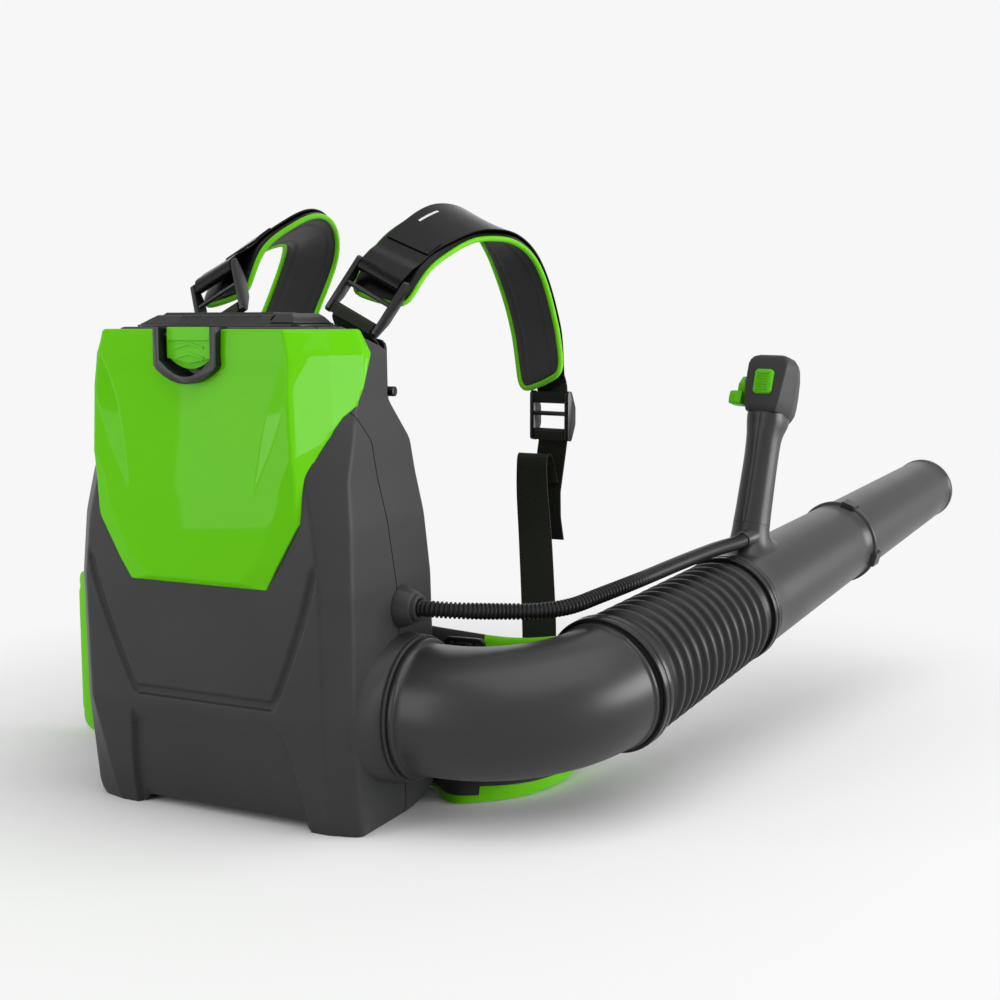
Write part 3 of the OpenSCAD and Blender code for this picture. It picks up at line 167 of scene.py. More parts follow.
def gloss_plastic(name, low, high, rough, coat):
    """Polished moulding with faint orange peel under a clear, hard skin."""
    made, tree, shader, place = new_finish(name, rough, 1.53, shine=0.02)
    tone(tree, shader, place, low, high, 120, 1.0)
    # orange peel at 7 mm, and the slow flow of the melt in patches of 60 mm
    peel = add(tree, "ShaderNodeTexNoise", {"Scale": 1 / (7 * MM), "Detail": 1.0}, {"Vector": place})
    flow = add(tree, "ShaderNodeTexNoise", {"Scale": 1 / (60 * MM), "Detail": 2.0}, {"Vector": place})
    relief(tree, shader, [(peel.outputs["Fac"], 0.06, 0.2), (flow.outputs["Fac"], 0.5, 0.12)])
    worn = add(tree, "ShaderNodeMapRange", {"To Min": rough - 0.04, "To Max": rough + 0.05},
               {"Value": flow.outputs["Fac"]})
    tree.links.new(worn.outputs["Result"], shader.inputs["Roughness"])
    shader.inputs["Coat Weight"].default_value = coat
    shader.inputs["Coat Roughness"].default_value = 0.035
    return made


WAVE = 0.314


def woven(name, low, high, thread, depth, rough=0.85, sheen=0.25, shine=0.1, ribbed=False):
    """Cloth drawn thread by thread on the piece's own flat plan: thread spacing in millimetres."""
    made, tree, shader, _ = new_finish(name, rough, 1.5, shine=shine)
    place = add(tree, "ShaderNodeAttribute", {"attribute_name": "cloth"}).outputs["Vector"]
    # a wave texture has one hump in each WAVE / scale metres
    rows = [add(tree, "ShaderNodeTexWave", {"bands_direction": d, "Scale": WAVE / (thread * MM),
                                            "Distortion": 0.6, "Detail": 1.0, "Detail Scale": 3.0},
                {"Vector": place}).outputs["Fac"] for d in ("X", "Y")]
    if ribbed:
        height = rows[1]
    else:
        over = add(tree, "ShaderNodeTexChecker", {"Scale": 1 / (thread * MM)}, {"Vector": place})
        height = add(tree, "ShaderNodeMix", {"data_type": "FLOAT"},
                     {0: over.outputs["Fac"], 2: rows[0], 3: rows[1]}).outputs[0]
    # the dye takes a little unevenly, in patches of 30 mm
    cloud = add(tree, "ShaderNodeTexNoise", {"Scale": 1 / (30 * MM), "Detail": 4.0}, {"Vector": place})
    # painted shade: the hollows between the threads are painted darker than the threads' crowns, added to
    # the dye's uneven patches
    thread_hollow_shade = add(tree, "ShaderNodeMath", {"operation": "MULTIPLY_ADD", 1: 0.55, 2: 0.1},
                {0: height})
    total = add(tree, "ShaderNodeMath", {"operation": "MULTIPLY_ADD", 1: 0.4},
                {0: cloud.outputs["Fac"], 2: thread_hollow_shade.outputs[0]})
    mix = add(tree, "ShaderNodeMix", {"data_type": "RGBA", 6: linear(low), 7: linear(high)},
              {0: total.outputs[0]})
    tree.links.new(mix.outputs[2], shader.inputs["Base Color"])
    relief(tree, shader, [(height, depth, 0.6), (cloud.outputs["Fac"], 1.5, 0.2)])
    shader.inputs["Sheen Weight"].default_value = sheen
    shader.inputs["Sheen Roughness"].default_value = 0.4
    return made


def spacer_mesh(name, low, high, cell):
    """Knitted spacer fabric with open cells that face the wearer: cell size in millimetres."""
    made, tree, shader, place = new_finish(name, 0.9, 1.5)
    turned = add(tree, "ShaderNodeMapping", {"Scale": (1.0, 0.0, 1.0)}, {"Vector": place})
    holes = add(tree, "ShaderNodeTexVoronoi", {"Scale": 1 / (cell * MM), "Randomness": 0.12},
                {"Vector": turned.outputs[0]})
    wall = add(tree, "ShaderNodeMapRange", {"From Min": 0.12, "From Max": 0.5},
               {"Value": holes.outputs["Distance"]})
    # the open cells are painted dark: partly the black layer behind them, partly painted shade inside the
    # holes
    mix = add(tree, "ShaderNodeMix", {"data_type": "RGBA", 6: linear(low), 7: linear(high)},
              {0: wall.outputs["Result"]})
    tree.links.new(mix.outputs[2], shader.inputs["Base Color"])
    relief(tree, shader, [(wall.outputs["Result"], 1.2, 0.7)])
    shader.inputs["Sheen Weight"].default_value = 0.3
    return made


def metal(name, code, rough, grain):
    """Plated or enamelled metal with a fine, uneven skin: grain size in millimetres."""
    made, tree, shader, place = new_finish(name, rough, 1.5, 1.0)
    streak = add(tree, "ShaderNodeTexNoise", {"Scale": 1 / (grain * MM), "Detail": 3.0},
                 {"Vector": place})
    shader.inputs["Base Color"].default_value = linear(code)
    relief(tree, shader, [(streak.outputs["Fac"], 0.05, 0.4)])
    worn = add(tree, "ShaderNodeMapRange", {"To Min": rough - 0.06, "To Max": rough + 0.1},
               {"Value": streak.outputs["Fac"]})
    tree.links.new(worn.outputs["Result"], shader.inputs["Roughness"])
    return made


# Grain, threads and cells finer than a millimetre or two wouldn't show, so each is drawn as
# coarse as its comment says.

# Glass-filled nylon, moulded with an eroded grain drawn at 1.1 mm: dark grey, dull and even
CHARCOAL = moulded_plastic("nylon_charcoal_grained", "#2f2f30", "#383839", 0.44, 1.1, 0.12)
# Polypropylene, blow-moulded, its ripple drawn at 2.5 mm: smoother and darker, with long soft
# highlights
TUBE = moulded_plastic("polypropylene_charcoal_satin", "#262627", "#2b2b2c", 0.34, 2.5, 0.04, 0.32)
# ABS, moulded in a polished tool: saturated green under a clear skin with faint orange peel
GREEN = gloss_plastic("abs_green_polished", "#5ab800", "#5fbc02", 0.3, 0.17)
# ABS controls, moulded with a satin face drawn at 1.6 mm: the same green, dulled by handling
CONTROL = moulded_plastic("abs_green_satin", "#55b40a", "#60bf10", 0.34, 1.6, 0.05)
# Nylon fittings, moulded smooth, grain drawn at 1.2 mm: black, with small crisp highlights
BLACK = moulded_plastic("nylon_black_satin", "#131314", "#1a1a1b", 0.28, 1.2, 0.04, 0.3)
# Polycarbonate battery case, grain drawn at 1.2 mm: a soft black between satin and dull
BATTERY = moulded_plastic("polycarbonate_black_grained", "#222223", "#29292a", 0.38, 1.2, 0.08)
# Thermoplastic rubber bellows, moulded smooth, skin drawn at 2 mm: soft black, a waxy sheen
RUBBER = moulded_plastic("elastomer_black_moulded", "#252525", "#2d2d2d", 0.40, 2.0, 0.06, 0.28)
# Polyamide conduit, corrugated as it is drawn off, grain drawn at 1 mm: black, satin ribs
CONDUIT = moulded_plastic("polyamide_black_corrugated", "#151515", "#1c1c1c", 0.36, 1.0, 0.03)
# Rubber feet, moulded, grain drawn at 1.5 mm: dead black, with hardly any highlight
FOOT = moulded_plastic("rubber_black_foot", "#121212", "#1a1a1a", 0.75, 1.5, 0.1)
# Zinc-plated steel, barrel-plated, skin drawn at 0.6 mm: cool grey with broad, soft glints
STEEL = metal("steel_zinc_plated", "#b0b4b8", 0.32, 0.6)
# Enamelled copper winding, its turns drawn at 0.9 mm: warm brown glints
COPPER = metal("copper_enamelled_winding", "#b06a30", 0.38, 0.9)
# Glass-epoxy circuit board, lacquered, its weave drawn at 3 mm: deep green under a thin gloss
BOARD = moulded_plastic("glass_epoxy_board_green", "#174f2b", "#1f6b3a", 0.35, 3.0, 0.05)
# The woven finishes below darken the hollows between their threads or ribs with painted shade.
# Nylon webbing, its cross ribs drawn at 2 mm where the real ones are 1.5 mm: black, with a slight gloss on
# each rib, and the hollows between the ribs darkened with painted shade
WEBBING = woven("nylon_webbing_black", "#191b16", "#272a21", 2.0, 0.18, 0.4, 0.0, ribbed=True)
# Nylon strap facing, woven and pressed flat, threads drawn at 1.6 mm: deep black, half glossy
FACING = woven("nylon_facing_black", "#050505", "#0a0a0a", 1.6, 0.06, 0.25, 0.0, 0.12)
# Polyester pad lining, plain woven, threads drawn at 1.6 mm: charcoal, dull, a little nap
LINING = woven("polyester_lining_charcoal", "#2a2a2b", "#3d3d3e", 1.6, 0.3, 0.8, 0.25)
# Polyester hip pad face, woven coarser, threads drawn at 2 mm: charcoal, dull, plainly woven
HIP_CLOTH = woven("polyester_oxford_charcoal", "#262627", "#3a3a3b", 2.0, 0.4, 0.8, 0.25)
# Polyester binding tape, threads drawn at 1.6 mm: bright green with a silky nap
BINDING = woven("polyester_binding_green", "#58b400", "#72d010", 1.6, 0.25, 0.55, 0.15)
# Polyester spacer mesh, knitted in cells of 4.5 mm: grey walls round dark, open cells, whose darkness is
# partly the black layer behind them and partly painted shade inside the holes
AIR_MESH = spacer_mesh("polyester_spacer_mesh_black", "#0d0d0d", "#343434", 4.5)
# Reflective tape, glass beads on cloth drawn at 1 mm: a pale, even grey
REFLECTIVE = moulded_plastic("glass_bead_tape_silver", "#c9c9c9", "#dedede", 0.3, 1.0, 0.02)

FINISH_OF_SLOT = {
    "charcoal_plastic": CHARCOAL, "green_plastic": GREEN, "green_control": CONTROL,
    "black_plastic": BLACK, "steel": STEEL, "winding": COPPER, "circuit_board": BOARD,
    "bellows_rubber": RUBBER, "conduit_plastic": CONDUIT, "back_mesh": AIR_MESH,
    "hip_fabric": HIP_CLOTH, "strap_fabric": LINING, "webbing": WEBBING, "foot_rubber": FOOT}
SLOT_OF_NODE = {s["node"]: s["material_slot"] for s in frame["record"]["subparts"]}
FINISH_OF_NODE = {"main_tube": TUBE, "nozzle": TUBE, "elbow": TUBE, "battery_pack": BATTERY,
                  "motor_rotor": STEEL}
BODY_OF_NODE = {n: b for b, ns in frame["record"]["behaviour"]["bodies"].items() for n in ns}


def finish_of(node):
    """The finish of a CAD part: its own, or its slot's."""
    return FINISH_OF_NODE.get(node) or FINISH_OF_SLOT[SLOT_OF_NODE[node]]


for node, part in nodes.items():
    part.data.materials.clear()
    part.data.materials.append(finish_of(node))


# ---- shape functions ---------------------------------------------------------------------
def lerp(a, b, t):
    """The value a share t of the way from a to b."""
    return a + (b - a) * t


def step(x, low, high):
    """Smooth step of x from low (0) to high (1)."""
    t = np.clip((np.asarray(x, float) - low) / (high - low), 0, 1)
    return t * t * (3 - 2 * t)


def unit(v):
    """The vector at length 1."""
    return v / np.linalg.norm(v)


def fillet(a, p, b, r, n):
    """Arc of radius r at corner p between neighbours a and b, as n + 1 points."""
    a, p, b = (np.array(q[:2], float) for q in (a, p, b))
    u, v = unit(a - p), unit(b - p)
    half = math.acos(max(-1, min(1, float(u @ v)))) / 2
    centre = p + unit(u + v) * r / math.sin(half)
    s, e = p + u * r / math.tan(half) - centre, p + v * r / math.tan(half) - centre
    turn = (math.pi - 2 * half) * (1 if s[0] * e[1] - s[1] * e[0] > 0 else -1)
    return [centre + [s[0] * math.cos(t) - s[1] * math.sin(t), s[0] * math.sin(t) + s[1] * math.cos(t)]
            for t in (turn * i / n for i in range(n + 1))]


def rounded(pts, n=6):
    """Closed outline from corners [x, y, radius]."""
    m = len(pts)
    return [q for i in range(m) for q in fillet(pts[i - 1], pts[i], pts[(i + 1) % m], pts[i][2], n)]


def smooth_route(pts, n):
    """Smooth curve through route points, with n steps between each two."""
    pts = np.array(pts, float)
    m, out = len(pts), []
    for i in range(m - 1):
        a, b, c, d = pts[max(i - 1, 0)], pts[i], pts[i + 1], pts[min(i + 2, m - 1)]
        for t in (k / n for k in range(n)):
            out.append((2 * b + (c - a) * t + (2 * a - 5 * b + 4 * c - d) * t * t
                        + (3 * b - a - 3 * c + d) * t ** 3) / 2)
    return np.array(out + [pts[-1]])


def run_along(line):
    """Distance of each point from the start, along a polyline."""
    return np.concatenate([[0], np.cumsum(np.linalg.norm(np.diff(line, axis=0), axis=1))])


def resample(line, count=None, stops=None):
    """Points at even steps, or at the given distances, along a polyline."""
    line = np.array(line, float)
    run = run_along(line)
    stops = np.linspace(0, run[-1], count) if stops is None else np.asarray(stops, float)
    return np.stack([np.interp(stops, run, line[:, k]) for k in range(line.shape[1])], 1)


def run_of(line):
    """Length of a polyline."""
    return float(run_along(np.array(line))[-1])


def spin(v, a):
    """The point v turned as rotate(a) turns it: about X, then Y, then Z, in degrees."""
    about_x, about_y, about_z = (Matrix.Rotation(math.radians(a[k]), 3, "XYZ"[k]) for k in range(3))
    return np.array(about_z @ about_y @ about_x @ Vector(v))


def mesh_piece(name, points, faces, finish, body=None, slot=None, cloth=None, sharp=35, finishes=()):
    """A mesh object in metres from points in millimetres, with any further finishes it takes."""
    data = bpy.data.meshes.new(name)
    data.from_pydata([Vector(p) * MM for p in points], [], faces)
    data.materials.append(finish)
    for extra in finishes:
        data.materials.append(extra)
    if cloth is not None:
        flat = data.attributes.new("cloth", "FLOAT_VECTOR", "POINT")
        flat.data.foreach_set("vector", (np.array(cloth, np.float32) * MM).ravel())
    data.validate()
    made = bpy.data.objects.new(name, data)
    shaded(made, sharp)
    bpy.context.scene.collection.objects.link(made)
    if body:
        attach(made, body)
    return made


def grid_faces(k, n, closed, caps=(True, True), keep=None):
    """Quads over k rings of n points; keep(i, j) may drop some."""
    wide = n if closed else n - 1
    faces = [(i * n + j, i * n + (j + 1) % n, (i + 1) * n + (j + 1) % n, (i + 1) * n + j)
             for i in range(k - 1) for j in range(wide) if keep is None or keep(i, j)]
    if closed and caps[0]:
        faces.append(tuple(range(n - 1, -1, -1)))
    if closed and caps[1]:
        faces.append(tuple((k - 1) * n + j for j in range(n)))
    return faces


def flat_plan(rings):
    """Each point's place on the cloth: distance round its ring, and along the piece."""
    rings = np.array(rings, float)
    along = run_along(rings.mean(axis=1))
    across_it = np.array([run_along(ring) for ring in rings])
    return np.stack([across_it, np.repeat(along[:, None], rings.shape[1], 1),
                     np.zeros_like(across_it)], 2).reshape(-1, 3)


def loft(name, rings, finish, body=None, slot=None, caps=(True, True), ring_loop=False, **more):
    """Skin over closed rings, with a flat plan for its cloth; ring_loop joins last to first."""
    rings = np.array(rings, float)
    k, n = rings.shape[:2]
    faces = grid_faces(k, n, True, (False, False) if ring_loop else caps)
    if ring_loop:
        faces += [((k - 1) * n + j, (k - 1) * n + (j + 1) % n, (j + 1) % n, j) for j in range(n)]
    made = mesh_piece(name, rings.reshape(-1, 3), faces, finish, body, slot, flat_plan(rings), **more)
    outward(made)
    return made


WELD = 0.03


def outward(piece, weld=0.0):
    """Turn every face outwards, after joining points that lie closer than weld millimetres."""
    work = bmesh.new()
    work.from_mesh(piece.data)
    if weld:
        bmesh.ops.remove_doubles(work, verts=work.verts, dist=weld * MM)
        bmesh.ops.dissolve_degenerate(work, edges=work.edges, dist=weld * MM)
    bmesh.ops.recalc_face_normals(work, faces=work.faces)
    work.to_mesh(piece.data)
    work.free()


def joined(name, pieces):
    """Several meshes as one piece, named after the whole."""
    bpy.ops.object.select_all(action="DESELECT")
    for p in pieces:
        p.select_set(True)
    bpy.context.view_layer.objects.active = pieces[0]
    bpy.ops.object.join()
    pieces[0].name = name
    return pieces[0]


def modify(piece, kind, **settings):
    """Apply one modifier to a piece."""
    made = piece.modifiers.new(kind, kind)
    for key, value in settings.items():
        setattr(made, key, value)
    bpy.context.view_layer.update()
    done = bpy.data.meshes.new_from_object(piece.evaluated_get(bpy.context.evaluated_depsgraph_get()))
    piece.modifiers.clear()
    piece.data = done


def shaded(piece, angle):
    """Smooth shading, kept sharp at edges of more than the angle in degrees."""
    piece.data.polygons.foreach_set("use_smooth", [True] * len(piece.data.polygons))
    piece.data.set_sharp_from_angle(angle=math.radians(angle))


CREASE = 34     # degrees past which a CAD part's edge counts as one to round


def softened(node, width):
    """A CAD part with its moulded edges rounded by width millimetres."""
    source = nodes[node]
    data = source.data.copy()
    work = bmesh.new()
    work.from_mesh(data)
    bmesh.ops.remove_doubles(work, verts=work.verts, dist=0.01 * MM)
    bmesh.ops.dissolve_limit(work, angle_limit=math.radians(1.0), verts=work.verts, edges=work.edges)
    work.to_mesh(data)
    work.free()
    made = bpy.data.objects.new(node + "_moulded", data)
    bpy.context.scene.collection.objects.link(made)
    data.materials.clear()
    data.materials.append(finish_of(node))
    modify(made, "BEVEL", width=width * MM, segments=2, limit_method="ANGLE",
           angle_limit=math.radians(CREASE), use_clamp_overlap=True, harden_normals=False)
    shaded(made, CREASE)
    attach(made, BODY_OF_NODE[node])
    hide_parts(node)
    return made


def tube_along(name, line, radii, finish, sides=16, closed=False, **more):
    """Round tube through points, with a radius for each; closed joins its ends."""
    line = np.array(line, float)
    count = len(line)
    rings = []
    side = None
    for i, p in enumerate(line):
        before = line[i - 1] if closed or i else line[0]
        after = line[(i + 1) % count] if closed or i < count - 1 else line[-1]
        t = unit(after - before)
        if side is None:
            side = unit(np.cross([0, 0, 1], t)) if abs(t[2]) < 0.95 else unit(np.cross([0, 1, 0], t))
        side = unit(side - (side @ t) * t)
        up = np.cross(t, side)
        r = radii[i] if hasattr(radii, "__len__") else radii
        rings.append([p + r * (math.cos(a) * side + math.sin(a) * up)
                      for a in (2 * math.pi * k / sides for k in range(sides))])
    return loft(name, rings, finish, ring_loop=closed, **more)


# ---- cable conduit ----
GLAND_Y, GLAND_Z = -14.0, 205.0
CONDUIT_END = np.array([380.0, 347.0, 234.6])
CONDUIT_DIR = (0, 84.3, 74.8)                     # degrees about X, Y and Z
ROUTE = [(170, GLAND_Y, GLAND_Z), (190, GLAND_Y, GLAND_Z), (215, -2, 203.5), (242, 25, 200.5),
         (270, 50, 199), (290, 77, 200.5), (305, 112, 206), (327, 165, 215), (347, 225, 224),
         (364, 288, 230.5), CONDUIT_END + spin((0, 0, -18), CONDUIT_DIR),
         CONDUIT_END + spin((0, 0, 3), CONDUIT_DIR)]
# The conduit follows the housing, then the elbow, then the tube: it is cut in two where it passes the
# elbow's end.
CUT, ROUTE_STEPS = 5, 10
NO_SLEEVE = 1e9
# One rib: (share of the pitch, share of the radius)
CONDUIT_RIB = ((0.0, 0.78), (0.16, 0.80), (0.3, 0.95), (0.42, 1.0), (0.64, 1.0), (0.76, 0.95),
               (0.9, 0.80))


def corrugated(name, line, sleeve):
    """Ribbed hose: one rounded rib each CONDUIT_PITCH; past the sleeve's start the ribs fill up."""
    total = run_of(line)
    count = max(2, round(total / CONDUIT_PITCH))
    stops, radii = [], []
    for k in range(count):
        for at, size in CONDUIT_RIB:
            place = (k + at) * total / count
            filled = float(step(place, sleeve, sleeve + 60))
            stops.append(place)
            radii.append(lerp(size, 0.97, filled) * CONDUIT_D / 2)
    return tube_along(name, resample(line, stops=stops + [total]), radii + [radii[0]], CONDUIT, sides=24,
                      sharp=60)


whole = smooth_route(ROUTE, ROUTE_STEPS)
rear_line = whole[:CUT * ROUTE_STEPS + 1]
front_line = whole[CUT * ROUTE_STEPS:]
for name, line, sleeve, a, b, start, end in (
        ("conduit_rear", rear_line, NO_SLEEVE, "housing", "elbow", (190, -14, 205), (285, 70, 200)),
        ("conduit_front", front_line, 60, "elbow", "tube", (300, 90, 202), (366, 300, 231))):
    hose = corrugated(name, line, sleeve)
    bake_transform(hose)
    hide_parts("conduit")


# ---- places on the air tube ----------------------------------------------------------------
tilt = math.radians(TILT)
turn = math.radians(TURN)
ELBOW_END = np.array([STRAIGHT + BEND_R * math.sin(turn), BEND_R * (1 - math.cos(turn)), 0.0])


def in_tube_frame(p):
    """A point of the air tube's own frame, whose X leaves the outlet, in the shared frame."""
    x, y, z = p
    return OUTLET + np.array([x, y * math.cos(tilt) - z * math.sin(tilt),
                              y * math.sin(tilt) + z * math.cos(tilt)])


ALONG = unit(in_tube_frame((math.cos(turn), math.sin(turn), 0)) - OUTLET)
SIDE = unit(in_tube_frame((math.sin(turn), -math.cos(turn), 0)) - OUTLET)
ABOVE = np.cross(SIDE, ALONG)


def tube_point(s):
    """Point of the straight tube's axis at a distance past the elbow's end."""
    return in_tube_frame(ELBOW_END) + s * ALONG


def revolved(name, profile, finish, body=None, slot=None, sides=112, sharp=50):
    """Wall turned round the straight tube's axis: profile is [(distance, radius)]."""
    angles = [2 * math.pi * k / sides for k in range(sides)]
    rings = [[tube_point(s) + r * (math.cos(t) * SIDE + math.sin(t) * ABOVE) for t in angles]
             for s, r in profile]
    return loft(name, rings, finish, body, slot, ring_loop=True, sharp=sharp)


def eased(corners, radius, n=4):
    """Profile with its corners rounded; corners are (distance, radius)."""
    out, m = [], len(corners)
    for i, p in enumerate(corners):
        a, b = corners[i - 1], corners[(i + 1) % m]
        room = min(math.dist(a, p), math.dist(p, b)) * 0.45
        u, v = unit(np.subtract(a, p)), unit(np.subtract(b, p))
        half = math.acos(max(-1, min(1, float(u @ v)))) / 2
        if half > 1.5:
            out.append(p)
            continue
        out += [tuple(q) for q in fillet(a, p, b, min(radius, room * math.tan(half)), n)]
    return out


# ---- bellows: ribbed rubber hose between the elbow and the main tube -------------------------
BELLOWS_R0, BELLOWS_R1 = 66.0, 58.5               # radius of the ribs' tops, at its two ends
RIB_START, RIB_END, RIB_H = 30.0, 226.0, 6.0
SKIN, RUN, CUFF = 2.0, 0.3, 14.0                  # wall, gap it fits with and cuff length
OVERLAP = 2.6                                     # how far it reaches back past the elbow's end
# One rib from hollow to hollow: (share of the pitch, drop from the rib's top)
BELLOWS_RIB = ((0.0, RIB_H), (0.20, RIB_H), (0.29, RIB_H - 0.9), (0.35, 2.6), (0.40, 0.7),
               (0.46, 0.1), (0.55, 0), (0.64, 0.3), (0.70, 1.2), (0.77, 3.6),
               (0.84, RIB_H - 0.8), (0.92, RIB_H))


def bellows_r(s):
    """Radius of the ribs' tops at a distance along the bellows."""
    return lerp(BELLOWS_R0, BELLOWS_R1, max(0, min(1, (s - 10) / (BELLOWS_L - 20))))


outer = [(-OVERLAP, ELBOW_R + RUN + SKIN), (CUFF + 2, ELBOW_R + RUN + SKIN),
         (CUFF + 6, bellows_r(22) - 3)]
pitch = (RIB_END - RIB_START) / RIBS
for k in range(RIBS):
    s = RIB_START + k * pitch
    top = bellows_r(s)
    outer += [(s + pitch * at, top - drop) for at, drop in BELLOWS_RIB]
outer += [(RIB_END + 5, MAIN_R + RUN + SKIN), (BELLOWS_L - 1, MAIN_R + RUN + SKIN),
          (BELLOWS_L - 0.6, MAIN_R + 5), (BELLOWS_L + 1.9, MAIN_R + 5), (BELLOWS_L + 1.9, MAIN_R + RUN)]
inner = [(s, r - SKIN) for s, r in outer[-6:1:-1]]
inner += [(CUFF, ELBOW_R + RUN), (-OVERLAP, ELBOW_R + RUN)]
bellows = revolved("bellows_moulded", outer + inner, RUBBER, None, "bellows_rubber", sharp=70)
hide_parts("bellows")
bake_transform(bellows)

# ---- elbow: one blow-moulded bend with a bead round each end ------------------------------------
def elbow_ring(place, radius, sides=112):
    """Ring round the elbow at a distance along its centre line, from the outlet."""
    bend = BEND_R * turn
    if place <= STRAIGHT:
        centre, heading = (place, 0, 0), 0.0
    elif place < STRAIGHT + bend:
        heading = (place - STRAIGHT) / BEND_R
        centre = (STRAIGHT + BEND_R * math.sin(heading), BEND_R * (1 - math.cos(heading)), 0)
    else:
        heading = turn
        rest = place - STRAIGHT - bend
        centre = (ELBOW_END[0] + rest * math.cos(turn), ELBOW_END[1] + rest * math.sin(turn), 0)
    side = np.array([math.sin(heading), -math.cos(heading), 0])
    upright = np.array([0, 0, 1.0])
    return [in_tube_frame(np.array(centre) + radius * (math.cos(t) * side + math.sin(t) * upright))
            for t in (2 * math.pi * k / sides for k in range(sides))]


# Stations along the elbow: (distance, how far the skin stands out from its plain radius)
ELBOW_L = STRAIGHT + BEND_R * turn
SEATED, SPIGOT = 8.0, 14.0                        # how far it reaches into the collar and the bellows
stations = [(-SEATED, 0), (17.4, 0), (18, 1.5), (18.4, 3.9), (19.2, 4.5), (23.6, 4.5), (24.6, 3.9),
            (25, 1.5), (25.6, 0.4), (27, 0)]
stations += [(s, 0) for s in np.linspace(32, ELBOW_L - 9, 44)]
stations += [(ELBOW_L + d, out) for d, out in
             ((-7.6, 0.1), (-7, 1.1), (-6.4, 2.0), (-3.8, 2.0), (-3.2, 1.1), (-2.8, 0.1),
              (SPIGOT, 0), (SPIGOT, -TUBE_WALL))]
stations += [(s, -TUBE_WALL) for s in (ELBOW_L, ELBOW_L * 0.7, ELBOW_L * 0.4, STRAIGHT, -SEATED)]
elbow = loft("elbow_moulded", [elbow_ring(s, ELBOW_R + out) for s, out in stations], TUBE, "elbow",
             "charcoal_plastic", ring_loop=True, sharp=50)
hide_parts("elbow")

# ---- clamps: a plain band with a groove round its middle, at each end of the bellows -------------
GROOVE_IN = 0.9
for name, body, low, high, big, small in (
        ("bellows_clamp_rear", "elbow", -1.5, 12.5, BELLOWS_R0 + 3, ELBOW_R + RUN + SKIN),
        ("bellows_clamp_front", "tube", BELLOWS_L - 14, BELLOWS_L - 2, BELLOWS_R1 + 1.5,
         MAIN_R + RUN + SKIN)):
    middle = (low + high) / 2
    ring = eased([(low, small), (low, big), (middle - 1.2, big), (middle - 0.8, big - GROOVE_IN),
                  (middle + 0.8, big - GROOVE_IN), (middle + 1.2, big), (high, big), (high, small)], 1.0)
    clamp = revolved(name + "_moulded", ring, BLACK, body, "charcoal_plastic", sides=96, sharp=40)
    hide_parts(name)


# ---- harness: webbing, pads and cushions ----------------------------------------------------
def across(p):
    """Direction across a band at a route point [x, y, z, roll, yaw]."""
    roll, yaw = math.radians(p[3]), math.radians(p[4])
    return np.array([math.cos(roll) * math.cos(yaw), math.cos(roll) * math.sin(yaw), -math.sin(roll)])


def band_rings(pts, section):
    """Rings of a section [(across, out)] along route points [x, y, z, roll, yaw]."""
    pts = np.array(pts, float)
    rings = []
    for i, p in enumerate(pts):
        t = unit(pts[min(i + 1, len(pts) - 1), :3] - pts[max(i - 1, 0), :3])
        a = across(p)
        flat = unit(a - (a @ t) * t)
        up = np.cross(t, flat)
        here = section(i) if callable(section) else section
        rings.append([p[:3] + q[0] * flat + q[1] * up for q in here])
    return np.array(rings)


def web_section(w, t, shift=0.0):
    """Flat strap section with rounded selvedges."""
    half, r = w / 2, t / 2
    edge = [(-half + r * 0.4, -r), (-half * 0.5, -r), (0, -r), (half * 0.5, -r), (half - r * 0.4, -r),
            (half, 0), (half - r * 0.4, r), (half * 0.5, r), (0, r), (-half * 0.5, r), (-half + r * 0.4, r),
            (-half, 0)]
    return [(x, y + shift) for x, y in edge]


def dense(pts, pace, axes=3):
    """The same route with a point each few millimetres, kept on its own straight runs."""
    pts = np.array(pts, float)
    out = [pts[0]]
    for a, b in zip(pts[:-1], pts[1:]):
        n = max(1, int(np.linalg.norm(b[:axes] - a[:axes]) // pace))
        out += [lerp(a, b, (k + 1) / n) for k in range(n)]
    return np.array(out)


def relaxed(pts, rounds):
    """Rounds the bends of a dense route, as woven nylon does."""
    pts = np.array(pts, float)
    for _ in range(rounds):
        pts[1:-1] = (pts[:-2] + 2 * pts[1:-1] + pts[2:]) / 4
    return pts


def webbing(name, route, width, soft=1, pace=3.0):
    """A length of webbing along a route, its bends rounded soft times."""
    line = relaxed(dense(route, pace), soft)
    return loft(name, band_rings(line, web_section(width, WEB_T)), WEBBING, sharp=50)


def mirrored(piece, name):
    """The left-hand twin of a right-hand piece."""
    twin = piece.copy()
    twin.data = piece.data.copy()
    twin.name = name
    bpy.context.scene.collection.objects.link(twin)
    twin.data.transform(Matrix.Scale(-1, 4, (1, 0, 0)))
    twin.data.flip_normals()
    return twin


PAD_LINE = [(93, 52, 497, 20, 0), (100, 85, 535, 27, 0), (106, 125, 558, 30, 0), (114, 175, 575, 30, 0),
            (127, 218, 572, 25, -3), (140, 248, 550, 16, -7), (153, 262, 514, 7, -12),
            (168, 262, 463, 2, -17), (184, 245, 408, 0, -20)]
PAD_STEPS = 12
# Ladder-locks: place, turns in degrees, height between their bars, and the upper strap's width
UPPER_LOCK, UPPER_TURN, UPPER_H = (89, 38, 497), (-20, 27, 0), 46.0
LOWER_LOCK, LOWER_TURN, LOWER_H = (193, 246, 372), (0, 0, -12), 36.0
UPPER_W = PAD_W - 14
ON_PAD = -(PAD_T / 2 + 1.0)                       # middle of a strap that lies on the pad


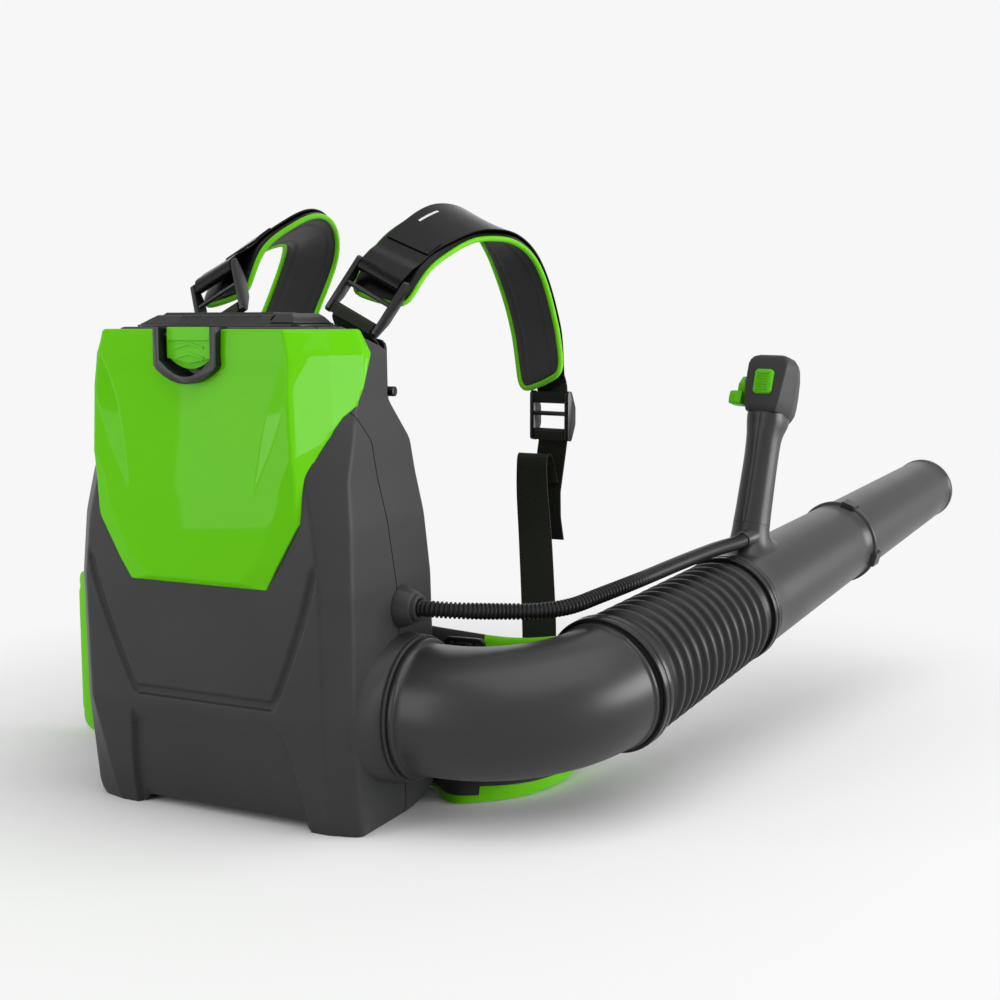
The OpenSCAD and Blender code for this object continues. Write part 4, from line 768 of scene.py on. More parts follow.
def lean_in(piece, reach=30.0):
    """The left pad hangs a little further inwards than the right one; its two ends stay put."""
    line = smooth_route(PAD_LINE, PAD_STEPS)[:, :3] * [-1, 1, 1]
    last = len(line) - 1
    for v in piece.data.vertices:
        p = np.array(v.co) / MM
        i = int(np.argmin(np.linalg.norm(line - p, axis=1)))
        i = min(max(i, 1), last - 1)
        ahead = (line[i + 1] - line[i - 1]) / 2
        t = (i + float((p - line[i]) @ ahead) / float(ahead @ ahead)) / last
        near = 1 - step(np.linalg.norm(line[i] - p), 60, 90)
        v.co.x += reach * MM * near * math.sin(math.pi * min(1, max(0, t))) ** 2
    return piece


def lock_route(pts, place, turned):
    """Route points in a ladder-lock's own frame, from [out, up] pairs."""
    return [list(np.array(place) + spin((0, q[0], q[1]), turned)) + [turned[1], turned[2]] for q in pts]


def bar_loop(h, s, r=3.9):
    """Webbing round a bar at height h, open upwards (s = 1) or downwards (s = -1)."""
    turnings = [(r * math.cos(t), h - s * r * math.sin(t)) for t in (math.pi * k / 8 for k in range(9))]
    return [(r, h + s * 9)] + turnings + [(-r, h + s * 8)]


def pad_width(i, n):
    """Half width of the shoulder pad at station i of n, with rounded ends."""
    # nominal length, how far from its end it starts to narrow, and its share of the width there
    pad_l, end_r, blunt = 330, 17, 0.68
    from_end = min(i, n - i) / n * pad_l
    round_in = math.sqrt(max(0.0, 1 - (1 - min(1, (from_end + 1.5) / end_r)) ** 2))
    return PAD_W / 2 * lerp(blunt, 1, round_in)


FACE_POINTS = 17


def pad_section(half, crown):
    """Cushion section: glossy outer face, upright edge, and a lined face with a pressed seam."""
    side = crown * 0.42
    top = [(half * u, -side - (crown - side) * (1 - abs(u) ** 3.0) ** 0.8)
           for u in np.linspace(-1, 1, FACE_POINTS)]
    low = []
    for u in np.linspace(1, -1, 25):
        y = side + (crown - side) * (1 - abs(u) ** 3.0) ** 0.8
        y -= 1.5 * math.exp(-((abs(u) - 0.6) / 0.04) ** 2)
        low.append((half * u, y))
    return top + low


def shoulder_pad():
    """The right pad and its sewn edge binding."""
    line = smooth_route(PAD_LINE, PAD_STEPS)
    n = len(line) - 1
    wide = [pad_width(i, n) - 2.0 for i in range(n + 1)]
    thick = [PAD_T / 2 - 3.0 * math.exp(-min(i, n - i) / 2.2) for i in range(n + 1)]
    rings = band_rings(line, lambda i: pad_section(wide[i], max(0.8, thick[i])))
    body = loft("shoulder_pad_right_lining", rings, LINING, sharp=60, finishes=(FACING,))
    # the outer face and the edges beside it take the glossy facing
    m = rings.shape[1]
    for face in body.data.polygons:
        corners = [v % m for v in face.vertices]
        closing = min(corners) == 0 and max(corners) >= m - 1
        face.material_index = int(len(corners) == 4 and (max(corners) <= FACE_POINTS or closing))
    # sewn binding all the way round the edge on the wearer's side
    rim = [band_rings(line, lambda i, s=s: [(s * (wide[i] + 0.3), 2.6)])[:, 0] for s in (-1, 1)]
    ends = [[lerp(rim[0][i], rim[1][i], t) + d * v for t, d in ((0.2, 1.4), (0.5, 2.2), (0.8, 1.4))]
            for i, v in ((0, unit(line[0, :3] - line[1, :3])), (n, unit(line[-1, :3] - line[-2, :3])))]
    loop = np.concatenate([rim[0], ends[1], rim[1][::-1], ends[0][::-1]])
    loop = resample(np.concatenate([loop, loop[:1]]), 260)[:-1]
    for _ in range(2):
        loop = (np.roll(loop, 1, 0) + 2 * loop + np.roll(loop, -1, 0)) / 4
    binding = tube_along("shoulder_pad_right_binding", loop, 2.9, BINDING, sides=12, closed=True, sharp=80)
    return body, binding


pad, binding = shoulder_pad()
pad_left = lean_in(mirrored(pad, "shoulder_pad_left_lining"))
binding_left = lean_in(mirrored(binding, "shoulder_pad_left_binding"))
for piece, edge, node in ((pad, binding, "shoulder_pad_right"),
                          (pad_left, binding_left, "shoulder_pad_left")):
    for p, slot in ((piece, "strap_fabric"), (edge, "green_plastic")):
        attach(p, "housing")
        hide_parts(node)


def strap_on_pad(width, thick, shift, first, last, aside=0.0):
    """Band on the pad's outer face between two stations; width may be a function of the station."""
    line = smooth_route(PAD_LINE, PAD_STEPS)[first:last + 1]
    wide = width if callable(width) else lambda i: width

    def section(i):
        """The band's own section at a station, moved aside."""
        return [(x + aside, y) for x, y in web_section(wide(i + first), thick, shift)]

    return band_rings(line, section)


def upper_webbing():
    """The right strap from the ladder-lock over the pad, its loops, and the pull at the pad's foot."""
    top = lock_route(bar_loop(UPPER_H / 2, 1), UPPER_LOCK, UPPER_TURN)
    low = lock_route(bar_loop(-UPPER_H / 2, -1), UPPER_LOCK, UPPER_TURN)
    chest = lock_route(bar_loop(LOWER_H / 2, 1), LOWER_LOCK, LOWER_TURN)
    lead = relaxed(dense(top + [[103, 60, 533, 26, 0], [101.7, 79.5, 540, 27, 0]], 3.0), 1)
    lead_rings = band_rings(lead[:-1], web_section(UPPER_W, WEB_T))

    def spread(i):
        """The strap widens over the pad's shoulder and narrows again at its foot."""
        return lerp(UPPER_W, PAD_W - 6, float(step(i, 16, 34) * step(-i, -96, -84)))

    pad_rings = strap_on_pad(spread, WEB_T, ON_PAD, 14, 96)
    over = loft("over", np.concatenate([lead_rings, pad_rings]), FACING, sharp=60)
    down = webbing("down", low[::-1] + [[72, 46, 458, 14, 0], [66, 57, 446, 2, 0], [64, 62, 441, 0, 0],
                                        [64, 67.5, 440, 0, 0], [64, 69, 432, 0, 0]], UPPER_W)
    front = webbing("front", [[182.8, 258.6, 424, 0, -18], [187.4, 254.8, 411, 0, -16]] + chest, WEB_W)
    patch = loft("patch", strap_on_pad(UPPER_W - 3, 1.4, ON_PAD - 1.5, 15, 22), FACING, sharp=50)
    return joined("upper_webbing_right_woven", [over, down, front, patch])


def lower_webbing(name, ends):
    """A strap that hangs from the lower ladder-lock: its free tail, and its run to the hip pad."""
    hang = lock_route(bar_loop(-LOWER_H / 2, -1), LOWER_LOCK, LOWER_TURN)
    tail = webbing("tail", hang[::-1] + [[191, 249, 322, 0, -12], [187, 248, 290, 0, -12],
                                         [187, 249, 262, 0, -12], [189, 253, 236, 0, -12]], WEB_W)
    route = smooth_route([[185, 245, 296, 0, -8], [180, 245.5, 318, 0, -6], [177, 243, 328, 0, -6],
                          [176, 238, 330, 0, -6], [176, 234, 322, 0, -6], [179, 228, 292, 0, -4]] + ends, 8)
    down = loft("down", band_rings(route, web_section(WEB_W, WEB_T)), WEBBING, sharp=60)
    return joined(name, [tail, down])


straps = [(upper_webbing(), "upper_webbing_right")]
straps.append((lean_in(mirrored(straps[0][0], "upper_webbing_left_woven")), "upper_webbing_left"))
tape = loft("strap_tape_right", strap_on_pad(2.6, 0.4, ON_PAD - 1.1, 26, 33, -16.0), REFLECTIVE, sharp=50)
for piece in (tape, lean_in(mirrored(tape, "strap_tape_left"))):
    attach(piece, "housing")
# Ends of the two lower straps on the hip pad: the left one is sewn on nearer the housing
RIGHT_END = [[190, 212, 245, 0, 0], [204, 188, 196, 0, 0], [217, 164, 152, 0, 0], [222.7, 150, 118, 0, 0]]
LEFT_END = [[186, 202, 245, 0, 0], [198, 152, 200, 0, 0], [208, 106, 166, 0, 0], [212, 87, 148, 0, 0],
            [214, 85.4, 118, 0, 0]]
straps.append((lower_webbing("lower_webbing_right_woven", RIGHT_END), "lower_webbing_right"))
spare = lower_webbing("spare", LEFT_END)
straps.append((mirrored(spare, "lower_webbing_left_woven"), "lower_webbing_left"))
bpy.data.objects.remove(spare)
for piece, node in straps:
    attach(piece, "housing")
    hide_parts(node)

# ---- hip pad: one long padded form with a broad green border ----------------------------------
# Route in the plan: x, y, top z, how far the lower edge leans out, lower z
HIP_LINE = np.array([
    (-332, 88, 182, 0, 12), (-329, 86, 187, 0, 2), (-304, 82, 189, 0, 0), (-250, 77, 189, 0, 0),
    (-190, 75, 184, 0, 0), (-120, 74.8, 176, 0, 0), (0, 74.8, 172, 0, 0), (120, 74.8, 168, 0, 0),
    (146, 75, 166, 0, 0), (162, 75.5, 165, 30, 0), (177, 76.5, 164, 44, 0), (196, 80, 162, 32, 0),
    (214, 86, 160, 20, 0), (232, 99, 158, 9, 0), (244, 122, 156, 4, 0), (250, 155, 152, 2, 0),
    (253, 188, 142, 0, 6), (254, 206, 130, 0, 18), (254, 216, 116, 0, 40)], float)
HIP_T, HIP_PACE = 15.0, 6.0
BORDER, WING_X = 15.0, 192.0                      # green border, and where the wings start


def side_of(line, i):
    """Direction across a route in the plan, at station i."""
    t = unit(np.append(line[min(i + 1, len(line) - 1), :2] - line[max(i - 1, 0), :2], 0))
    return np.array([-t[1], t[0], 0])


def hip_pad():
    """Padded band round the wearer's hips, with a seam pressed in beside its border."""
    line = relaxed(dense(HIP_LINE, HIP_PACE, 2), 2)
    n = len(line)
    ups = np.concatenate([[0, 0.012, 0.04, 0.085], np.linspace(0.12, 0.88, 20), [0.915, 0.96, 0.988, 1]])
    rings = []
    for i, p in enumerate(line):
        out = side_of(line, i)
        end = min(i, n - 1 - i) * HIP_PACE
        ring = []
        for side in (-1, 1):
            for u in (ups if side < 0 else ups[::-1]):
                z = lerp(p[4], p[2], u)
                edge = min(u, 1 - u) * (p[2] - p[4])
                swell = (1 - math.exp(-(edge + 1.2) / 7)) * (1 - math.exp(-(end + 3) / 8))
                seam = 1.6 * math.exp(-((edge - BORDER) / 1.6) ** 2) * (edge < 60)
                lean = -out * p[3] * max(0, 1 - z / 62) ** 2
                ring.append(np.append(p[:2], 0) + lean + side * out * (HIP_T / 2 * swell - seam)
                            + np.array([0, 0, z + 1]))
        rings.append(ring)
    rings = np.array(rings)
    made = loft("hip_pad_padded", rings, HIP_CLOTH, "housing", "hip_fabric", sharp=60, finishes=(BINDING,))
    low, high = line[:, 4], line[:, 2]
    m = rings.shape[1]
    for face in made.data.polygons:
        k = min(face.vertices[0] // m, n - 1)
        z = face.center[2] / MM - 1
        wing = abs(line[k, 0]) > WING_X
        rim = min((z - low[k]) * 1.4, high[k] - z)
        end = min(k, n - 1 - k) * HIP_PACE
        face.material_index = int((rim < BORDER and wing) or z - low[k] < 10 or end < 24)
    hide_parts("hip_pad")


hip_pad()


def belt_route(a, b, z):
    """Webbing on the hip pad's outer face, from one point of its route to another."""
    stand = HIP_T / 2 + 1.7
    return [list(np.append(HIP_LINE[i, :2], z) - side_of(HIP_LINE, i) * stand) + [-90, 0]
            for i in range(a, b + 1)]


belt = joined("hip_belt_woven", [
    webbing("left", belt_route(2, 5, 128), WEB_W, pace=4.0),
    webbing("middle", [[106, 66, 128, -90, 0], [157, 66, 138, -90, 0]], WEB_W, soft=0, pace=4.0),
    webbing("right", [[204, 73.4, 138, -90, 0]] + belt_route(12, 16, 136), 30.0, pace=4.0)])
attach(belt, "housing")
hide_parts("hip_belt")


# ---- back cushion: crowned spacer-mesh pad with sewn channels ---------------------------------
PLATE_Y, PLATE_T = 62.0, 4.0


def back_cushion():
    """Pad on the back plate: its outline swept inwards, with two upright and three level channels."""
    outline = rounded([[-92, 206, 18], [92, 206, 18], [96, 300, 60], [88, 424, 18], [-88, 424, 18],
                       [-96, 300, 60]], 8)
    outline = resample(np.array(outline + outline[:1]), 160)[:-1]
    centre = np.array([0.0, 315.0])
    rings = []
    swept = [(0.4, 0.965), (2.0, 0.985), (5.0, 1.0), (8.5, 0.998), (12, 0.985), (15.5, 0.955),
             (18.5, 0.91), (20.6, 0.84), (21.6, 0.76)]
    swept += [(22.0, shrink) for shrink in (0.66, 0.55, 0.44, 0.33, 0.22, 0.11, 0.02)]
    for depth, shrink in swept:
        ring = []
        for x, z in outline:
            q = centre + (np.array([x, z]) - centre) * shrink
            d = depth
            for upright in (-34.0, 34.0):
                d -= 5.0 * math.exp(-((q[0] - upright) / 4.0) ** 2) * step(depth, 8, 18)
            for level in (262.0, 315.0, 368.0):
                d -= 4.0 * math.exp(-((q[1] - level) / 3.5) ** 2) * step(depth, 8, 18)
            ring.append((-q[0], PLATE_Y + PLATE_T + d, q[1]))
        rings.append(ring)
    made = loft("back_cushion_padded", rings, AIR_MESH, "housing", "back_mesh", sharp=80)
    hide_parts("back_cushion")


back_cushion()


# ---- housing shells ---------------------------------------------------------------------------
# Plan sections: [z, front y, front half width, side start y, side x, side end y, back half width,
# back y]
BODY_ROWS = np.array([
    [0, FRONT_Y + 25, HALF_W - 34, FRONT_Y + 33, HALF_W - 4, 4, HALF_W - 18, 8],
    [5, FRONT_Y + 23, HALF_W - 32, FRONT_Y + 31, HALF_W - 1, 28, HALF_W - 16, REAR_Y - 24],
    [16, FRONT_Y + 20, HALF_W - 31, FRONT_Y + 28, HALF_W, REAR_Y - 12, HALF_W - 14, REAR_Y - 2],
    [110, FRONT_Y - 1, HALF_W - 22, FRONT_Y + 19, HALF_W, REAR_Y - 10, HALF_W - 12, REAR_Y],
    [230, FRONT_Y - 4, HALF_W - 22, FRONT_Y + 17, HALF_W, REAR_Y - 16, HALF_W - 12, REAR_Y - 8],
    [290, FRONT_Y - 3, HALF_W - 29, FRONT_Y + 21, HALF_W - 3, 36, HALF_W - 13, 46],
    [330, FRONT_Y, HALF_W - 38, FRONT_Y + 27, HALF_W - 9, 30, HALF_W - 20, 41],
    [362, FRONT_Y, HALF_W - 45, FRONT_Y + 39, HALF_W - 11, 24, HALF_W - 24, 34],
    [402, FRONT_Y, HALF_W - 51, FRONT_Y + 53, HALF_W - 15, -10, HALF_W - 30, -2],
    [BODY_H - 21, FRONT_Y, HALF_W - 54, FRONT_Y + 54, HALF_W - 15, -11, HALF_W - 30, -3],
    [BODY_H, FRONT_Y + 6, HALF_W - 66, FRONT_Y + 49, HALF_W - 31, -66, HALF_W - 60, -16]])
FRONT_RUNS = (78, 3, 26, 3, 30)                   # points on each straight run of a half outline
SEAM = np.array([[-8, -1], [-24, 227], [-48, 364], [-86, 403], [-86, 469]])     # y, z
SEAM_GAP, RETURN, WALL = 0.7, 2.4, 3.0
ARCH_H, ARCH_HALF, SKID_HALF = 8.0, 92.0, 96.5    # the hollow between the skids
EASE, TOP_R = 4.0, 3.0                            # softness of the creases, round of the top edge
BAY_HALF, BAY_FRONT, BAY_BACK = 89.5, -87.0, -21.5    # mouth of the battery's bay
LATCH_HALF, LATCH_LOW = 35.5, 416.0               # opening for the latch frame
GRILLE, GRILLE_R = (-20.0, 49.0, 260.0), 45.5     # opening behind the intake grille


def row_at(rows, z, ease=EASE):
    """Section values at a height, with the creases between sections eased over a few millimetres."""
    reach = min(ease, z - rows[0, 0], rows[-1, 0] - z)
    if reach <= 0.01:
        return np.array([np.interp(z, rows[:, 0], rows[:, k]) for k in range(1, rows.shape[1])])
    spots = z + np.linspace(-reach, reach, 9)
    return np.array([np.interp(spots, rows[:, 0], rows[:, k]).mean() for k in range(1, rows.shape[1])])


def corner_path(start, corners, end, counts, n=5):
    """Half outline with filleted corners [x, y, r]; counts gives the points on each straight run."""
    out = [np.array(start, float)]
    for k, c in enumerate(corners):
        before = start if k == 0 else corners[k - 1]
        after = end if k == len(corners) - 1 else corners[k + 1]
        arc = fillet(before[:2], c[:2], after[:2], c[2], n)
        out += [lerp(out[-1], arc[0], (j + 1) / counts[k]) for j in range(counts[k])]
        out += arc[1:]
    out += [lerp(out[-1], np.array(end, float), (j + 1) / counts[-1]) for j in range(counts[-1])]
    return np.array(out)


def cut_path(path, place, inset=0.0):
    """Points of a half outline, held at a distance along it; inset moves them to the inside."""
    run = run_along(path)
    out = np.stack([np.interp(place, run, path[:, k]) for k in (0, 1)], -1)
    if inset:
        a, b = (np.stack([np.interp(place + d, run, path[:, k]) for k in (0, 1)], -1) for d in (-0.5, 0.5))
        along = (b - a) / np.maximum(np.linalg.norm(b - a, axis=-1, keepdims=True), 1e-6)
        out = out + inset * np.stack([-along[..., 1], along[..., 0]], -1)
    return out


def polygon_distance(points, outline):
    """Signed distance of each point to a closed outline: negative inside."""
    points, outline = np.asarray(points, float), np.asarray(outline, float)
    a, b = outline, np.roll(outline, -1, 0)
    best = np.full(len(points), 1e9)
    inside = np.zeros(len(points), bool)
    for p, q in zip(a, b):
        d = q - p
        t = np.clip(((points - p) @ d) / max(d @ d, 1e-9), 0, 1)
        best = np.minimum(best, np.linalg.norm(points - (p + t[:, None] * d), axis=1))
        crosses = (p[1] > points[:, 1]) != (q[1] > points[:, 1])
        with np.errstate(divide="ignore", invalid="ignore"):
            at = p[0] + (points[:, 1] - p[1]) / (q[1] - p[1]) * d[0]
        inside ^= crosses & (points[:, 0] < at)
    return np.where(inside, -best, best)


def both_sides(right):
    """Closed symmetrical outline from its right half, bottom centre upwards."""
    right = np.array(right, float)
    return np.concatenate([right, right[::-1] * [-1, 1]])


# Outlines of the raised panel and of the groove round it, as (x, z)
PANEL = both_sides([(0, 130), (75, 130), (78, 132.5), (87, 152), (97, 176), (107, 202),
                    (114.5, 224), (120, 244), (123, 256)])
GROOVE = both_sides([(0, 118), (77, 118), (81, 119.5), (88, 133), (98, 155), (107, 177),
                     (116, 200), (124, 223), (130, 246), (132, 258)])
GROOVE_DEPTH, SUNK = 3.4, 5.5


def front_relief(x, z):
    """How far the lower front sinks: the groove round the panel, and the sunken field above the arch."""
    points = np.stack([x, z], -1)
    panel, groove = polygon_distance(points, PANEL), polygon_distance(points, GROOVE)
    ring = step(panel, 0.2, 4.2) * step(-groove, 0.0, 2.4) * step(-z, -262, -244)
    half = np.interp(z, (0, 20, 45, 70, 96, 108), (101, 100, 97, 93, 88, 85))
    field = step(half - np.abs(x), -0.5, 2.6) * np.clip((106 - z) / 17, 0, 1)
    return GROOVE_DEPTH * ring + SUNK * field


def arch_lift(x, z):
    """The underside rises between the two skids."""
    lift = ARCH_H * (1 - step(np.abs(x), ARCH_HALF, SKID_HALF))
    return z + lift * (1 - np.clip(z / 16, 0, 1))


def latch_inside(x, z, margin):
    """Inside the latch frame's outline, drawn in by a margin."""
    half = LATCH_HALF - margin
    bottom = LATCH_LOW + margin + 13 * np.minimum(1.2, np.abs(x) / (32.5 - 0.9 * margin)) ** 2
    return (abs(x) < half) & (z > bottom)


def body_half(z, inset=0.0):
    """Right half of the plan section at a height, front centre to back centre."""
    r1, r2, r3, r4, r5, r6, r7 = row_at(BODY_ROWS, z)
    corners = [(r2 - inset * 0.4, r1 + inset, 8), (r4 - inset, r3 + inset * 0.4, 8),
               (r4 - inset, r5 - inset * 0.4, 7), (r6 - inset * 0.4, r7 - inset, 7)]
    return corner_path((0, r1 + inset), corners, (0, r7 - inset), FRONT_RUNS)


def place_where(path, k, value):
    """Distance along a half outline at which its x (k = 0) or y (k = 1) reaches a value."""
    rising = np.maximum.accumulate(path[:, k]) + np.arange(len(path)) * 1e-9
    return float(np.interp(value, rising, run_along(path)))


def shell_rows():
    """Heights and insets of the shell's rings, with the top edge rounded over."""
    low = list(np.arange(0, 16, 2.0)) + list(np.arange(16, 262, 1.6))
    high = list(np.arange(low[-1] + 5, 400, 5.0)) + list(np.arange(402, BODY_H - TOP_R - 1, 3.0))
    rows = [(z, 0.0) for z in low + high]
    rows += [(BODY_H - TOP_R * (1 - math.sin(a)), TOP_R * (1 - math.cos(a)))
             for a in (math.pi / 2 * k / 5 for k in range(6))]
    return rows


def shell(name, front):
    """Front or back casing: rings of its half of the plan, turned in along the seam."""
    rings = []
    for z, inset in shell_rows():
        path = body_half(z, inset)
        run = run_along(path)
        seam = place_where(path, 1, np.interp(z, SEAM[:, 1], SEAM[:, 0]))
        if front:
            place = np.minimum(run, seam - SEAM_GAP)
            half = list(cut_path(path, place))
            half += [cut_path(path, np.array([seam - SEAM_GAP]), d)[0] for d in (0.6, WALL)]
        else:
            place = np.maximum(run, seam + SEAM_GAP)[::-1]
            half = list(cut_path(path, place))
            edge = cut_path(path, np.array([seam + SEAM_GAP]), RETURN)[0]
            half += [edge, cut_path(path, np.array([seam - SEAM_GAP * 1.5]), RETURN)[0]]
        half = np.array(half)
        whole = np.concatenate([half[::-1] * [-1, 1], half[1:]])
        x, zs = whole[:, 0], np.full(len(whole), z)
        if z < 20:
            zs = arch_lift(x, zs)
        y = whole[:, 1].copy()
        if front:
            lead = np.abs(y - path[0, 1]) < 10
            y += np.where(lead, front_relief(x, zs), 0)
        rings.append(np.stack([x, y, zs], -1))
    # deck: in from the top edge to the battery's mouth, and underside in to the seam
    top, low = rings[-1], rings[0]
    mouth = np.stack([np.clip(top[:, 0], -BAY_HALF, BAY_HALF), np.clip(top[:, 1], BAY_FRONT, BAY_BACK),
                      top[:, 2]], -1)
    deck = [lerp(top, mouth, t) for t in (0.25, 1.0)]
    deck.append(mouth - [0, 0, WALL])
    seam_y = SEAM[0, 0]
    under = [np.stack([low[:, 0] * (1 - 0.012 * t), lerp(low[:, 1], seam_y, t), low[:, 2]], -1)
             for t in (1.0, 0.6, 0.25, 0.04)]
    rings = np.array(under + rings + deck)
    k, n = rings.shape[:2]

    def keep(i, j):
        """The casing stays open behind the latch frame in front, and behind the intake grille."""
        c = (rings[i, j] + rings[i + 1, j + 1] + rings[i + 1, j] + rings[i, j + 1]) / 4
        if front:
            return not (c[2] > LATCH_LOW and c[1] < -112 and latch_inside(c[0], c[2], 3.8))
        away = math.hypot(c[0] - GRILLE[0], c[2] - GRILLE[2])
        return not (c[1] > 30 and away < GRILLE_R)

    made = mesh_piece(name, rings.reshape(-1, 3), grid_faces(k, n, False, keep=keep), CHARCOAL)
    outward(made, WELD)
    made.data.set_sharp_from_angle(angle=math.radians(48))
    return made


for node, front in (("front_casing", True), ("back_casing", False)):
    casing = shell(node + "_moulded", front)
    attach(casing, "housing")
    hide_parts(node)

# ---- green cover ------------------------------------------------------------------------------
COVER_LOW = BODY_H - 236
# Side edge as (x, z), and back edge as (y, z)
COVER_EDGE = np.array([(77, COVER_LOW), (113.4, 294), (115.2, 317), (118.3, 338), (123.5, 356),
                       (129, 371), (134.5, 387), (141, 397.5), (HALF_W + 9, 401),
                       (HALF_W + 9, BODY_H - 2)])
COVER_BACK = np.array([(-78, COVER_LOW - 20), (-66, BODY_H - 68), (-46, BODY_H - 23), (-52, BODY_H - 2)])
# Plan sections: [z, front y, front half width, side start y, side x, side end y, half width there]
COVER_ROWS = np.array([
    [COVER_LOW - 10, COVER_Y + 1, 112, -93, 132, -62, HALF_W - 11.5],
    [BODY_H - 168, COVER_Y, 112, -93, 132, -62, HALF_W - 11.5],
    [BODY_H - 128, COVER_Y, 112, -93, 132, -62, HALF_W - 11.5],
    [BODY_H - 25, COVER_Y, 106.5, -92, 128, -60, HALF_W - 12],
    [BODY_H - 3, COVER_Y + 3.5, 101, -84, 123.5, -57, HALF_W - 20]])
# Line where the flat face breaks down to the edge, and the sunken field between two curved steps
FACE = both_sides([(0, COVER_LOW + 5.5), (51, COVER_LOW + 5), (74, 261), (94.7, 305), (99, 328),
                   (108, 348), (125, 364), (160, 380), (160, 480)])
STEP_IN = np.array([(105, 464), (100, 440), (92, 420), (83, 396), (76, 364), (71.5, 330), (71, 316)])
STEP_OUT = np.array([(124, 464), (119, 445), (112, 424), (105, 396), (92, 360), (76, 330), (72, 316)])
BREAK_SINK, FIELD_SINK = 6.2, 6.0                 # depth of the broken edge and of the field
COVER_RUNS = (90, 8, 8, 6)


def cover_half(z, inset):
    """Right half of the cover's plan section at a height, front centre to its back edge."""
    r1, r2, r3, r4, r5, r6 = row_at(COVER_ROWS, z, 2.0)
    corners = [(r2 - inset * 0.4, r1 + inset, 4), (r4 - inset, r3 + inset * 0.4, 5),
               (r6 - inset, r5 + inset * 0.4, 6)]
    return corner_path((0, r1 + inset), corners, (r6 - inset, 0), COVER_RUNS)


def cover_relief(x, z):
    """How far the cover's face sinks: its broken edge, and the field between the curved steps."""
    face = polygon_distance(np.stack([x, z], -1), FACE)
    broken = BREAK_SINK * np.clip(face / 20.0, 0, 1.15) * (1 - step(z, 372, 398))
    low = FIELD_SINK * np.clip((COVER_LOW + 5.5 - z) / 5.5, 0, 1)
    inner = np.interp(z, STEP_IN[::-1, 1], STEP_IN[::-1, 0])
    outer = np.interp(z, STEP_OUT[::-1, 1], STEP_OUT[::-1, 0])
    t = np.clip((outer - np.abs(x)) / np.maximum(outer - inner, 0.8), 0, 1)
    deep = FIELD_SINK * np.clip((z - 318) / 87, 0, 1) * (1 - 0.7 * np.clip((z - 425) / 40, 0, 1))
    field = deep * np.clip(t * 1.12 - 0.06, 0, 1)
    return np.maximum(broken, low * (np.abs(x) < 90)) + field


def cover():
    """Green cover: rings of its plan, cut at its edges, with a lip turned in towards the casing."""
    rings = []
    # closer rings where the ears begin
    heights = sorted(list(np.arange(COVER_LOW, BODY_H - 6, 1.5)) + list(np.arange(394.3, 403, 0.5)))
    rows = [(z, 0.0) for z in heights]
    rows += [(BODY_H - 2 - TOP_R * (1 - math.sin(a)), TOP_R * (1 - math.cos(a)))
             for a in (math.pi / 2 * k / 5 for k in range(6))]
    for z, inset in rows:
        path = cover_half(min(z, BODY_H - 3), inset)
        run = run_along(path)
        by_y = place_where(path, 1, np.interp(z, COVER_BACK[:, 1], COVER_BACK[:, 0]))
        by_x = place_where(path, 0, np.interp(z, COVER_EDGE[:, 1], COVER_EDGE[:, 0]))
        end = min(by_y, by_x)
        half = cut_path(path, np.minimum(run, end - 0.5))
        half[:, 1] += cover_relief(half[:, 0], np.full(len(half), z))
        # the lip turns in square to the skin at the ears, and straight back below them
        tip = half[-1]
        ahead = float(np.clip((388 - z) / 16, 0, 1)) if by_x < by_y else 0.0
        square = cut_path(path, np.array([end]), 1.0)[0] - cut_path(path, np.array([end]))[0]
        inward = unit(lerp(square, np.array([0.0, 1.0]), ahead))
        size = 0.4 + 0.6 * ahead
        lip = [tip + np.array([0.45, 0.35]) * size, tip + np.array([0.6, 1.2]) * size,
               tip + inward * (5.0 if z < BODY_H - 12 else 1.6)]
        half = np.concatenate([half, lip])
        whole = np.concatenate([half[::-1] * [-1, 1], half[1:]])
        rings.append(np.concatenate([whole, np.full((len(whole), 1), z)], 1))
    first, last = rings[0], rings[-1]
    below = [first + [0, 5.5, 0.3], first + [0, 0.9, -0.35]]
    above = [last + (np.array([0, -20, 0]) - last) * [0.02 * k, 0.09 * k, 0] for k in (1, 2)]
    for ring in above:
        ring[:, 2] = BODY_H - 2
    rings = np.array(below + rings + above)
    k, n = rings.shape[:2]

    def keep(i, j):
        """The cover stays open inside the latch frame."""
        c = (rings[i, j] + rings[i + 1, j + 1]) / 2
        return not (c[1] < -100 and latch_inside(c[0], c[2], 1.2))

    made = mesh_piece("green_cover_moulded", rings.reshape(-1, 3), grid_faces(k, n, False, keep=keep),
                      GREEN, "housing", "green_plastic")
    outward(made, WELD)
    made.data.set_sharp_from_angle(angle=math.radians(60))
    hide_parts("green_cover")


cover()

# ---- moulded fittings: CAD parts with rounded edges --------------------------------------------
for node, width in (("latch_frame", 1.8), ("battery_latch", 0.35), ("battery_bay", 1.2),
                    ("conduit_gland", 1.4), ("intake_grille", 0.8), ("back_plate", 1.4),
                    ("hip_buckle", 1.2), ("upper_buckle_right", 1.4), ("upper_buckle_left", 1.4),
                    ("lower_buckle_right", 1.4), ("lower_buckle_left", 1.4)):
    softened(node, width)


# ---- outlet collar: a bulged fairing that falls to a grooved rim ----------------------------------
COLLAR_R = ELBOW_R + 7.5
BULGE, BULGE_WIDE, BULGE_TURN = 22.5, 0.78, 0.03  # height in mm; half width and turn in radians
# Rim with its groove: (distance from the housing, step from the collar's radius)
COLLAR_RIM = ((13.5, -0.3), (13.8, -1.5), (15.2, -1.5), (15.5, -0.3), (15.9, 0), (16.6, 0),
              (17.2, -0.3), (17.5, -1.0), (17.5, -6.2), (17.1, -7.0))


